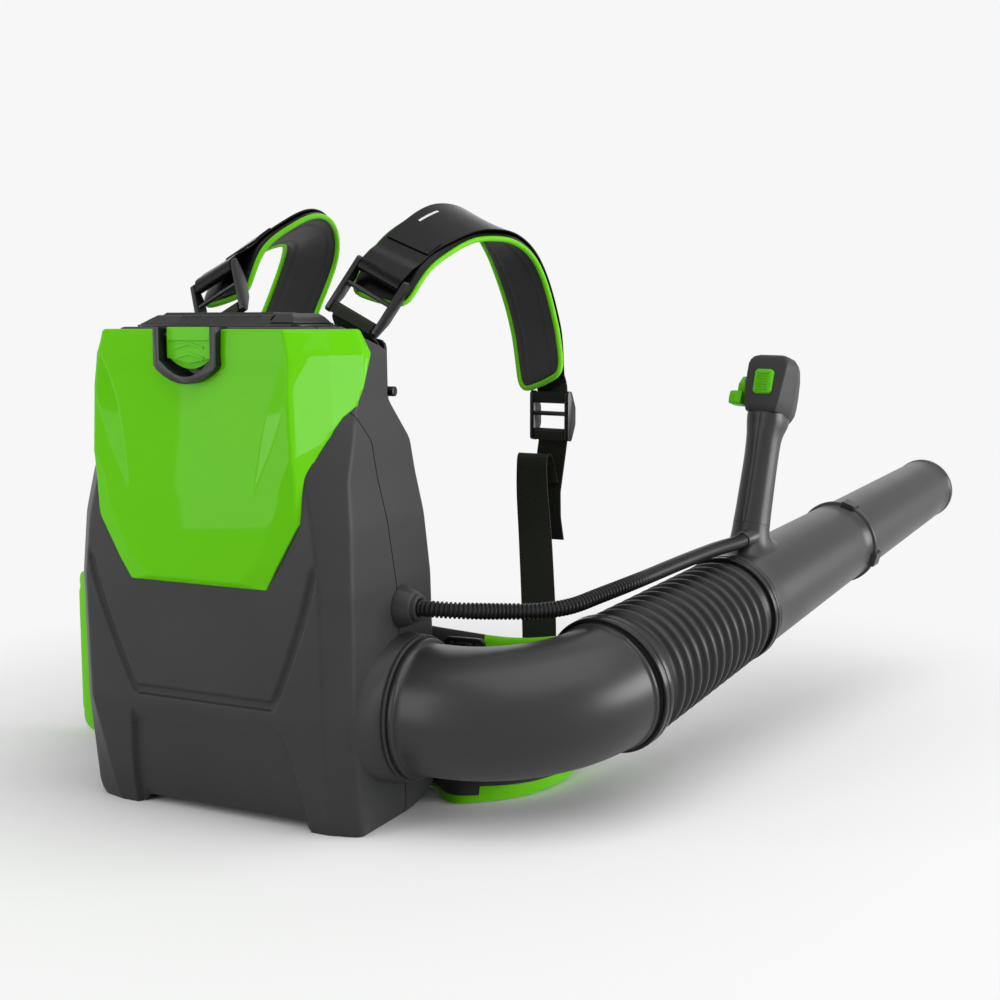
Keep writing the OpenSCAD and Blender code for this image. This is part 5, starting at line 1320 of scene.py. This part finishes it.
def collar(sides=128):
    """Rings along the outlet's axis, each with the fairing's swell towards the front."""
    rows = [(-9, ELBOW_R + 0.4, 0), (-9, COLLAR_R + 3, 1.0)]
    rows += [(lerp(-8, 13.2, t), COLLAR_R + 2.6 * (1 - t), math.cos(math.pi / 2 * t) ** 0.72)
             for t in np.linspace(0, 1, 18)]
    rows += [(d, COLLAR_R + r, 0) for d, r in COLLAR_RIM]
    rings = []
    for d, r, swell in rows:
        ring = []
        for k in range(sides):
            a = 2 * math.pi * k / sides
            front = (a - BULGE_TURN) % (2 * math.pi) - math.pi
            reach = r + swell * BULGE * math.exp(-(abs(front) / BULGE_WIDE) ** 2.2)
            ring.append(OUTLET + [d, reach * math.cos(a), reach * math.sin(a)])
        rings.append(ring)
    made = loft("outlet_collar_moulded", rings, CHARCOAL, "housing", SLOT_OF_NODE["outlet_collar"],
                ring_loop=True, sharp=50)
    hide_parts("outlet_collar")


collar()

# ---- battery pack: plain case with a tiered, ribbed lid ------------------------------------------
PACK_HALF, PACK_DEEP, PACK_Y, PACK_LOW = 86.0, 29.0, -54.25, 318.0
LID, LID_RISE = BODY_H + 2.4, 8.6                 # height of the lid's rim, and its rise
LID_HALF, LID_DEEP = 88.6, 31.6
# Across the lid: its raised tier, a gap, and the end block
TIER_LEFT, TIER_RIGHT, TIER_FRONT, TIER_BACK, TIER_H = -74, 54, -16, 26, 2.4
GAP_START, BLOCK_START = 57.5, 61
# Grip ribs on its front slope
RIBS_HALF, RIBS_FRONT, RIBS_BACK, RIB_PITCH = 46, -30.5, -22.5, 3.1


def lid_height(x, y):
    """Top of the pack: sloped ends, a front slope with ribs, a raised tier and a separate end block."""
    u, v = abs(x), y - PACK_Y
    front = LID + LID_RISE * np.clip((v + 32) / 11, 0, 1)
    back = LID + LID_RISE * np.clip((32 - v) / 6, 0, 1)
    ends = LID + 10.0 * np.clip((89 - u) / 15, 0, 1)
    top = min(front, back, ends)
    if TIER_LEFT < x < TIER_RIGHT and v > TIER_FRONT:
        slope = np.clip((v - TIER_FRONT) / 1.6, 0, 1) * np.clip((TIER_BACK - v) / 2, 0, 1)
        top += TIER_H * slope * np.clip(min(TIER_RIGHT - x, x - TIER_LEFT) / 2.4, 0, 1)
    if GAP_START < x < BLOCK_START:
        top = min(top, LID + 3.2)
    if x >= BLOCK_START:
        top = min(top + 1.4, LID + 9.6 * np.clip((PACK_HALF - x) / 8, 0, 1) + 1)
    if u < RIBS_HALF and RIBS_FRONT < v < RIBS_BACK:
        top -= 1.0 * (math.cos(2 * math.pi * x / RIB_PITCH) > -0.2)
    return top


def pack():
    """The battery pack's case and lid."""
    case = []
    outline = rounded([(-PACK_HALF, -PACK_DEEP, 5), (PACK_HALF, -PACK_DEEP, 5), (PACK_HALF, PACK_DEEP, 5),
                       (-PACK_HALF, PACK_DEEP, 5)], 6)
    for z, grow in ((PACK_LOW, -1.2), (PACK_LOW + 1.2, 0), (LID - 1.2, 0), (LID - 1.0, 2.4),
                    (LID - 0.6, 3.0), (LID, 3.0), (LID + 0.4, 2.2)):
        wide, deep = 1 + grow / PACK_HALF, 1 + grow / PACK_DEEP
        case.append([(x * wide, PACK_Y + y * deep, z) for x, y in outline])
    edges = [TIER_RIGHT - 0.1, GAP_START - 0.1, GAP_START + 0.1, BLOCK_START - 0.1, BLOCK_START + 0.1]
    xs = np.unique(np.concatenate([np.linspace(-LID_HALF, LID_HALF, 160), edges]))
    ys = np.linspace(-LID_DEEP, LID_DEEP, 58) + PACK_Y
    rows = [[(x, y, max(LID - 0.4, lid_height(x, y))) for x in xs] for y in ys]
    # its front and back edges turn down inside the case
    rows = [[(x, ys[0] + 0.6, LID - 0.8) for x in xs]] + rows + [[(x, ys[-1] - 0.6, LID - 0.8) for x in xs]]
    lid = mesh_piece("lid", np.array(rows).reshape(-1, 3), grid_faces(len(rows), len(xs), False),
                     BATTERY, sharp=24)
    body = loft("case", case, BATTERY, sharp=40)
    made = joined("battery_pack_moulded", [body, lid])
    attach(made, BODY_OF_NODE["battery_pack"])
    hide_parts("battery_pack")


pack()

# The latch key's hinge block, seen at the top of its frame
KEY_FRONT, KEY_BACK, KEY_HALF = -127.6, -116.0, 24.6
key_rings = []
for z, half in ((BODY_H - 12, KEY_HALF), (BODY_H - 1.6, KEY_HALF), (BODY_H - 0.6, KEY_HALF - 0.4),
                (BODY_H - 0.2, KEY_HALF - 1.4)):
    plan = rounded([(-half, KEY_FRONT, 1.2), (half, KEY_FRONT, 1.2), (half, KEY_BACK, 1.2),
                    (-half, KEY_BACK, 1.2)], 3)
    key_rings.append([(x, y, z) for x, y in plan])
cap = loft("key_cap", key_rings, CONTROL, sharp=50)
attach(cap, BODY_OF_NODE["battery_latch"])

# ---- main tube and nozzle ------------------------------------------------------------------------
SHOULDER = 3.0                                    # the tube's step up from the cuff in the bellows


def main_skin(s, start=MAIN_R + SHOULDER):
    """The main tube's radius at a distance along it, tapering from its start to its end."""
    return lerp(start, MAIN_R1, np.clip((s - MAIN_S - 3.9) / (MAIN_L - 4), 0, 1))


# Wall of the main tube, as (distance, radius): the cuff, a bead, the taper, a bead, and back inside
main_wall = [(BELLOWS_L - 16, MAIN_R - TUBE_WALL), (BELLOWS_L - 16, MAIN_R), (MAIN_S - 0.2, MAIN_R)]
main_wall += [(MAIN_S + d, MAIN_R + out) for d, out in
              ((0, 1), (0.3, 4.2), (1.0, 5), (3.0, 5), (3.8, 4.4), (4.4, 3.2))]
main_wall += [(s, main_skin(s)) for s in np.linspace(MAIN_S + 6, MAIN_END - 7.2, 12)]
main_wall += [(MAIN_END + d, MAIN_R1 + out) for d, out in
              ((-6.6, 0.9), (-6, 2.6), (-5.2, 3.5), (-1.2, 3.5), (-0.3, 2.8), (0, 1.2),
               (0, -TUBE_WALL), (-COLLAR_L, -TUBE_WALL))]
main_wall += [(s, main_skin(s, MAIN_R) - TUBE_WALL)
              for s in np.linspace(MAIN_END - COLLAR_L - 2, MAIN_S + 4, 6)]

# The handle's own frame: Z up along the grip, Y from the button's face to the trigger's side
SADDLE_S, BASE_Z, HEAD_Z = MAIN_S + 28, MAIN_R + 31, HANDLE_H - 69
HANDLE_FOOT = tube_point(SADDLE_S) + [-6, 0, 0]
HANDLE_TURN = (-HANDLE_LEAN, 1, -10)


def in_handle(p):
    """A point of the handle's own frame, in the shared frame."""
    return HANDLE_FOOT + spin(p, HANDLE_TURN)


def tube_gap(p):
    """Gap from a point to the main tube's skin, the axis point beside it, and the skin's radius."""
    s = float((p - tube_point(0)) @ ALONG)
    beside = tube_point(s)
    skin = main_skin(s)
    return float(np.linalg.norm(p - beside)) - skin, beside, skin


def saddle(sides=72):
    """Fairing that flows from the foot of the grip onto the tube."""
    axis = spin((0, 0, 1), HANDLE_TURN)
    lines = []
    for k in range(sides):
        a = 2 * math.pi * k / sides
        c, s = math.cos(a), math.sin(a)
        top = in_handle(((GRIP_HALF + 1) * math.copysign(abs(c) ** 0.91, c),
                         20 * math.copysign(abs(s) ** 0.91, s), BASE_Z))
        # halve the distance until it is where the grip's line meets the tube
        low, high = 0.0, 60.0
        for _ in range(24):
            mid = (low + high) / 2
            low, high = (mid, high) if tube_gap(top - axis * mid)[0] > 0 else (low, mid)
        bend = top - axis * low
        out = unit(spin((c * 0.9, s, 0), HANDLE_TURN))
        foot = bend + out * lerp(15.0, 24.0, abs(s))
        _, beside, skin = tube_gap(foot)
        foot = beside + unit(foot - beside) * (skin - 0.25)
        line = [top + axis * 0.2]
        for t in np.linspace(0, 1, 15):
            line.append((1 - t) ** 2 * top + 2 * t * (1 - t) * bend + t * t * foot)
        line.append(foot - unit(foot - beside) * 1.5)
        lines.append(line)
    rings = np.swapaxes(np.array(lines), 0, 1)
    return loft("saddle", rings, TUBE, sharp=50, caps=(True, False))


CATCH_L, CATCH_H = 19, 5.2


def catch(turned):
    """Raised bayonet catch: a small ramped block across the tube's end bead, turned in degrees."""
    s, far = MAIN_END - 1, CATCH_L / 2
    rings = []
    for d, high in ((-far, 0.3), (-far + 1.4, CATCH_H), (far - 4, CATCH_H), (far, CATCH_H * 0.3)):
        ring = []
        for w, up in ((-8, -2.0), (-7.6, high * 0.8), (-6.4, high), (6.4, high), (7.6, high * 0.8),
                      (8, -2.0)):
            angle = math.radians(turned) + w / MAIN_R1
            r = MAIN_R1 + 2 + up
            ring.append(tube_point(s + d) + r * (math.cos(angle) * SIDE + math.sin(angle) * ABOVE))
        rings.append(ring)
    return loft("catch", rings, TUBE, sharp=30)


socket = tube_along("socket", [CONDUIT_END + spin((0, 0, d), CONDUIT_DIR) for d in (-1.5, -0.8, 0, 14, 18)],
                    [8.4, 9.0, 9.4, 10.4, 10.6], TUBE, sides=32)
main = joined("main_tube_moulded", [revolved("shell", main_wall, TUBE), saddle()]
              + [catch(turned) for turned in (-18, 72, 192)] + [socket])
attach(main, "tube")
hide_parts("main_tube")

# Nozzle, as (distance, radius): a spigot in the main tube's bore, a bead, the taper, the rolled
# mouth, and back inside
BORE = MAIN_R1 - TUBE_WALL - 0.3
MOUTH_S, MOUTH_R = MAIN_END + NOZZLE_L, MOUTH_D / 2
nozzle_wall = [(MAIN_END - COLLAR_L, BORE - 0.8), (MAIN_END - COLLAR_L + 0.8, BORE), (MAIN_END + 0.2, BORE)]
nozzle_wall += [(MAIN_END + d, MAIN_R1 + out) for d, out in
                ((0.4, 0), (1.0, 1), (4.6, 1), (5.3, 0.3), (5.8, -1))]
nozzle_wall += [(s, lerp(MAIN_R1 - 1, MOUTH_R + 1, (s - MAIN_END - 5.3) / (NOZZLE_L - 13)))
                for s in np.linspace(MAIN_END + 7, MOUTH_S - 9, 12)]
nozzle_wall += [(MOUTH_S + d, MOUTH_R + out) for d, out in
                ((-8.2, 1.2), (-7.6, 1.8), (-1.2, 1.8), (-0.3, 1.2), (0, 0.2), (-0.3, -0.8), (-1.4, -1.2))]
nozzle_wall += [(s, lerp(BORE - TUBE_WALL, MOUTH_R - 1.2, (s - MAIN_END - 4.9) / (NOZZLE_L - 12.8)))
                for s in np.linspace(MOUTH_S - 9, MAIN_END + 5, 6)]
nozzle_wall += [(MAIN_END - COLLAR_L, BORE - TUBE_WALL)]
nozzle = revolved("nozzle_moulded", nozzle_wall, TUBE, "nozzle", "charcoal_plastic")
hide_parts("nozzle")

# ---- control handle ----------------------------------------------------------------------------
# Grip sections: (z, half width, half depth, shift back, squareness)
GRIP_ROWS = [(BASE_Z + 0.4, GRIP_HALF + 1, 20, 0, 2.2), (BASE_Z + 14, GRIP_HALF + 0.5, 19.5, 0, 2.2),
             (BASE_Z + 36, GRIP_HALF, 18.5, 0, 2.3),
             (lerp(BASE_Z, HEAD_Z, 0.6), GRIP_HALF - 0.5, 18, 0, 2.3),
             (HEAD_Z - 24, GRIP_HALF, 19, 0, 2.4), (HEAD_Z - 8, GRIP_HALF + 2, 22.5, 3, 2.8),
             (HEAD_Z, GRIP_HALF + 2, 24, 3.5, 3.0), (HEAD_Z + 6, GRIP_HALF + 1.2, 23, 3.5, 3.0)]
TRIGGER_TOP, TRIGGER_LOW, TRIGGER_HALF = HEAD_Z - 22, HEAD_Z - 74, 7.1
PARTING, PARTING_DEEP = 1.6, 0.22                 # half width in degrees, and depth
GRIP_WALL = 2.2


def grip():
    """Two-part grip with a fine parting line, and the slot that the trigger swings in."""
    # the slot spans the angles between sector and 180 - sector; the parting lies at 90 and 270
    sector = math.degrees(math.acos((TRIGGER_HALF / GRIP_HALF) ** 1.15))
    back, front = ([at - PARTING / 2, at, at + PARTING / 2] for at in (90, 270))
    angles = list(np.linspace(sector, 90 - PARTING, 6)) + back
    angles += list(np.linspace(90 + PARTING, 180 - sector, 6))
    angles += list(np.linspace(180 - sector, 270 - PARTING, 24)[1:]) + front
    angles += list(np.linspace(270 + PARTING, 360 + sector, 24)[:-1])
    heights = set(np.arange(BASE_Z + 0.4, HEAD_Z + 4, 4.0)) | {TRIGGER_LOW - 3, TRIGGER_TOP + 6, HEAD_Z + 5}
    heights = sorted(heights)
    rows = np.array(smooth_route(GRIP_ROWS, 8))
    rings = []
    for z in heights:
        hx, hy, shift, p = (np.interp(z, rows[:, 0], rows[:, k]) for k in (1, 2, 3, 4))
        ring = []
        for a in angles:
            c, s = math.cos(math.radians(a)), math.sin(math.radians(a))
            near = min(abs(a - 90), abs(a - 270))
            dent = PARTING_DEEP * (1 - min(1, near / PARTING))
            ring.append(in_handle(((hx - dent) * math.copysign(abs(c) ** (2 / p), c),
                                   (hy - dent) * math.copysign(abs(s) ** (2 / p), s) + shift, z)))
        rings.append(ring)
    n = len(angles)

    def keep(i, j):
        """The grip stays open where the trigger swings in."""
        return not (j < 14 and heights[i] > TRIGGER_LOW - 3.5 and heights[i + 1] < TRIGGER_TOP + 6.5)

    rings = np.array(rings)
    made = mesh_piece("handle_grip_moulded", rings.reshape(-1, 3),
                      grid_faces(len(rings), n, True, caps=(False, False), keep=keep), TUBE, sharp=50)
    outward(made)
    modify(made, "SOLIDIFY", thickness=GRIP_WALL * MM, offset=-1.0, use_even_offset=True)
    made.data.set_sharp_from_angle(angle=math.radians(50))
    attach(made, "tube")
    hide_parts("handle_shell_left", "handle_shell_right")


grip()


# the trigger is drawn this many mm further out than its CAD solid, so that its blade stands proud
# of the grip
TRIGGER_PROUD = 3.4
trigger = softened("trigger", 1.2)
proud = in_handle((0, TRIGGER_PROUD, 0)) - in_handle((0, 0, 0))
trigger.data.transform(Matrix.Translation(Vector(proud * MM)))

# Head sections: (height over HEAD_Z, front half width, front y, half width, back y, corner radius,
# how much its height falls towards the back)
HEAD_ROWS = ((3.4, 18.4, -20.6, 21.4, 24.5, 2.6, 0.22), (7, 19.0, -21.8, 22.6, 27.0, 2.6, 0.20),
             (12, 20.2, -22.4, 24.0, 29.6, 2.6, 0.16), (19, 21.2, -22.3, 24.6, 30.6, 2.6, 0.12),
             (30, 22.2, -21.4, 25.2, 30.0, 2.6, 0.08), (46, 23.4, -20.0, 25.8, 27.5, 2.6, 0.03),
             (57, 23.8, -18.6, 25.6, 23.5, 2.8, 0), (62, 22.8, -17.4, 24.6, 20.5, 3.4, 0),
             (66, 20.2, -15.4, 22.0, 16.5, 4.2, 0), (68.4, 15.5, -12.0, 17.0, 11.0, 4.6, 0),
             (68.9, 9.5, -8.0, 11.0, 6.0, 4.6, 0))


def head_ring(up, front_half, front_y, half, back_y, r, slant, shrink=1.0):
    """One ring of the head: a narrower front face, and sides that widen to the back."""
    widest = lerp(front_y, back_y, 0.62)
    plan = rounded([(-front_half, front_y, r), (front_half, front_y, r), (half, widest, 7),
                    (half - 4, back_y, r + 1), (-half + 4, back_y, r + 1), (-half, widest, 7)], 6)
    return np.array([in_handle((x * shrink, y * shrink, HEAD_Z + up - slant * max(0.0, y + 4)))
                     for x, y in plan])


def head():
    """Head with a flat face for the button, whose lower edge runs down at the back."""
    rings = [head_ring(*row) for row in HEAD_ROWS]
    # its underside tucks in over the grip
    tuck = head_ring(3.3, *HEAD_ROWS[0][1:6], HEAD_ROWS[0][6] * 0.8, shrink=0.86)
    tuck += in_handle((0, 0.4, 0)) - in_handle((0, 0, 0))
    rings = [tuck, lerp(tuck, rings[0], 0.9)] + rings
    made = loft("handle_head_moulded", rings, CHARCOAL, "tube", "charcoal_plastic", sharp=60)
    modify(made, "BEVEL", width=1.0 * MM, segments=2, limit_method="ANGLE", angle_limit=math.radians(28))
    shaded(made, 50)
    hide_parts("handle_head")


head()

BUTTON_Z, RIDGES, RIDGE_PITCH = HEAD_Z + 36, 7, 3.1


def button_plate(half_x, half_z, y, r):
    """Rounded outline of the button at a depth in the handle's frame."""
    outline = rounded([(-half_x, -half_z, r), (half_x, -half_z, r), (half_x, half_z, r),
                       (-half_x, half_z, r)], 5)
    return [in_handle((x, y, BUTTON_Z + z)) for x, z in outline]


def button_ridge(z):
    """Low ridge across the button, its ends let into the plate."""
    line = [in_handle((x, y, z)) for x, y in ((-7.6, -24.7), (-7.0, -25.3), (7.0, -25.3), (7.6, -24.7))]
    return tube_along("ridge", line, [0.4, 0.7, 0.7, 0.4], CONTROL, sides=8)


plate = loft("plate", [button_plate(half_x, half_z, y, r) for half_x, half_z, y, r in
                       ((10.8, 13.6, -16.0, 4.5), (11.2, 14.0, -22.4, 4.6), (11.0, 13.8, -23.8, 4.6),
                        (10.2, 13.0, -24.7, 4.4), (9.0, 11.8, -25.0, 3.8))], CONTROL, sharp=50)
ridges = [button_ridge(BUTTON_Z + (k - RIDGES // 2) * RIDGE_PITCH) for k in range(RIDGES)]
button = joined("boost_button_moulded", [plate] + ridges)
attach(button, "boost_button")
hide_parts("boost_button")

# Cruise lever: a hub on its axle, a thumb wing that steps outwards and down, and a tab. Its rows
# are in its own frame, whose origin lies on its axle.
LEVER_X, LEVER_Y, LEVER_Z = -GRIP_HALF - 4.9, 8.0, HEAD_Z + 28


def lever_at(x, y, z):
    """A point of the lever's own frame, in the shared frame."""
    return in_handle((LEVER_X + x, LEVER_Y + y, LEVER_Z + z))


hub = [[lever_at(x, r * math.cos(a), r * math.sin(a)) for a in (2 * math.pi * k / 40 for k in range(40))]
       for x, r in ((12, 4.8), (1.0, 5.0), (0.8, 11.6), (0.2, 12.6), (-3.6, 12.8), (-4.6, 12.2),
                    (-5.0, 10.8))]
wing = []
for y, x_in, x_out, z_low, z_high, r in (
        (-25.0, -1.0, -6.5, 3.0, 11.0, 1.4), (-23, -0.4, -9.6, -2.0, 14.0, 1.8),
        (-16, -0.2, -12.0, -7.0, 15.6, 2.2), (-9, -0.2, -12.6, -10.0, 15.0, 2.4),
        (-3, -0.2, -10.4, -10.0, 13.6, 2.4), (3, -0.4, -6.4, -8.0, 11.5, 2.0)):
    outline = rounded([(x_in, z_low, r), (x_in, z_high, r), (x_out * 0.55, z_high, r),
                       (x_out, lerp(z_low, z_high, 0.45), r), (x_out, z_low, r)], 4)
    wing.append([lever_at(x, y, z) for x, z in outline])
tab = []
for x, grow in ((-4.0, 0.0), (-6.0, 0.6), (-15.0, 0.4), (-18.4, 0.0), (-19.4, -1.4)):
    outline = rounded([(-24.5 - grow, -17.0 - grow, 2.4), (-5 + grow, -17.0 - grow, 2.4),
                       (-6 + grow, -4.0 + grow, 3.0), (-23.5 - grow, -2.0 + grow, 3.0)], 4)
    tab.append([lever_at(x, y, z) for y, z in outline])
lever = joined("cruise_lever_moulded", [loft("hub", hub, CONTROL, sharp=45),
                                        loft("wing", wing, CONTROL, sharp=50),
                                        loft("tab", tab, CONTROL, sharp=50)])
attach(lever, BODY_OF_NODE["cruise_lever"])
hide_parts("cruise_lever")

# ---- light, floor and backdrop -------------------------------------------------------------------
PALE = linear("#f7f7f7")
ROOM_LIGHT = 0.33                                 # strength of the white light from all round


def seen(tree):
    """1 for rays straight from the camera, through glass or off a gloss, otherwise 0."""
    path = add(tree, "ShaderNodeLightPath")
    direct = add(tree, "ShaderNodeMath", {"operation": "MAXIMUM"},
                 {0: path.outputs["Is Camera Ray"], 1: path.outputs["Is Transmission Ray"]})
    return add(tree, "ShaderNodeMath", {"operation": "MAXIMUM"},
               {0: direct.outputs[0], 1: path.outputs["Is Glossy Ray"]}).outputs[0]


scene = bpy.context.scene
scene.view_settings.view_transform = "Standard"
world = bpy.data.worlds.new("studio")
scene.world = world
world.use_nodes = True
tree = world.node_tree
ground = tree.nodes["Background"]
ground.inputs["Color"].default_value = linear("#ffffff")
ground.inputs["Strength"].default_value = ROOM_LIGHT
pale = add(tree, "ShaderNodeBackground", {"Color": PALE, "Strength": 1.0})
both = add(tree, "ShaderNodeMixShader", links={0: seen(tree), 1: ground.outputs[0], 2: pale.outputs[0]})
tree.links.new(both.outputs[0], tree.nodes["World Output"].inputs["Surface"])

FLOOR_HALF = 30.0                                 # metres, so that its edge is out of sight
FADE_FROM, FADE_TO = 0.40, 1.05                   # metres from under the object
floor_data = bpy.data.meshes.new("floor")
floor_data.from_pydata([(-FLOOR_HALF, -FLOOR_HALF, 0), (FLOOR_HALF, -FLOOR_HALF, 0),
                        (FLOOR_HALF, FLOOR_HALF, 0), (-FLOOR_HALF, FLOOR_HALF, 0)], [], [(0, 1, 2, 3)])
floor = bpy.data.objects.new("floor", floor_data)
scene.collection.objects.link(floor)
# Seamless studio paper, matt: it takes the object's shadow and fades to one pale tone around it
paper = bpy.data.materials.new("studio_paper_pale")
paper.use_nodes = True
tree = paper.node_tree
lit = tree.nodes["Principled BSDF"]
lit.inputs["Base Color"].default_value = linear("#f4f4f4")
lit.inputs["Roughness"].default_value = 0.9
lit.inputs["Specular IOR Level"].default_value = 0.0
place = add(tree, "ShaderNodeTexCoord").outputs["Object"]
away = add(tree, "ShaderNodeVectorMath", {"operation": "DISTANCE", 1: (0.15, 0.2, 0.0)}, {0: place})
fade = add(tree, "ShaderNodeMapRange", {"interpolation_type": "SMOOTHSTEP", "From Min": FADE_FROM,
                                        "From Max": FADE_TO}, {"Value": away.outputs["Value"]})
glow = add(tree, "ShaderNodeEmission", {"Color": PALE, "Strength": 1.0})
part = add(tree, "ShaderNodeMath", {"operation": "MULTIPLY"}, {0: fade.outputs["Result"], 1: seen(tree)})
both = add(tree, "ShaderNodeMixShader", links={0: part.outputs[0], 1: lit.outputs[0], 2: glow.outputs[0]})
tree.links.new(both.outputs[0], tree.nodes["Material Output"].inputs["Surface"])
floor_data.materials.append(paper)


def softbox(name, place, aim, size, power):
    """White area lamp: its place, what it faces and its size in metres, and its power in watts."""
    light = bpy.data.lights.new(name, "AREA")
    light.shape = "RECTANGLE"
    light.size, light.size_y = size
    light.energy = power
    made = bpy.data.objects.new(name, light)
    made.location = place
    made.rotation_euler = (Vector(aim) - Vector(place)).to_track_quat("-Z", "Y").to_euler()
    scene.collection.objects.link(made)


softbox("key", (3.2, 1.05, 0.66), (0.2, 0.1, 0.45), (2.8, 1.24), 90)
softbox("top", (1.2, -0.4, 2.9), (0.4, 0.1, 0.1), (3.4, 3.0), 56)
softbox("left", (-1.66, -1.12, 0.60), (0.1, -0.09, 0.4), (0.3, 1.3), 6)
softbox("front", (-0.74, -1.6, 0.80), (0.19, 0.0, 0.80), (0.70, 1.56), 10.5)
softbox("back", (-0.6, 3.0, 1.6), (0.1, 0.1, 0.35), (2.4, 1.2), 4)
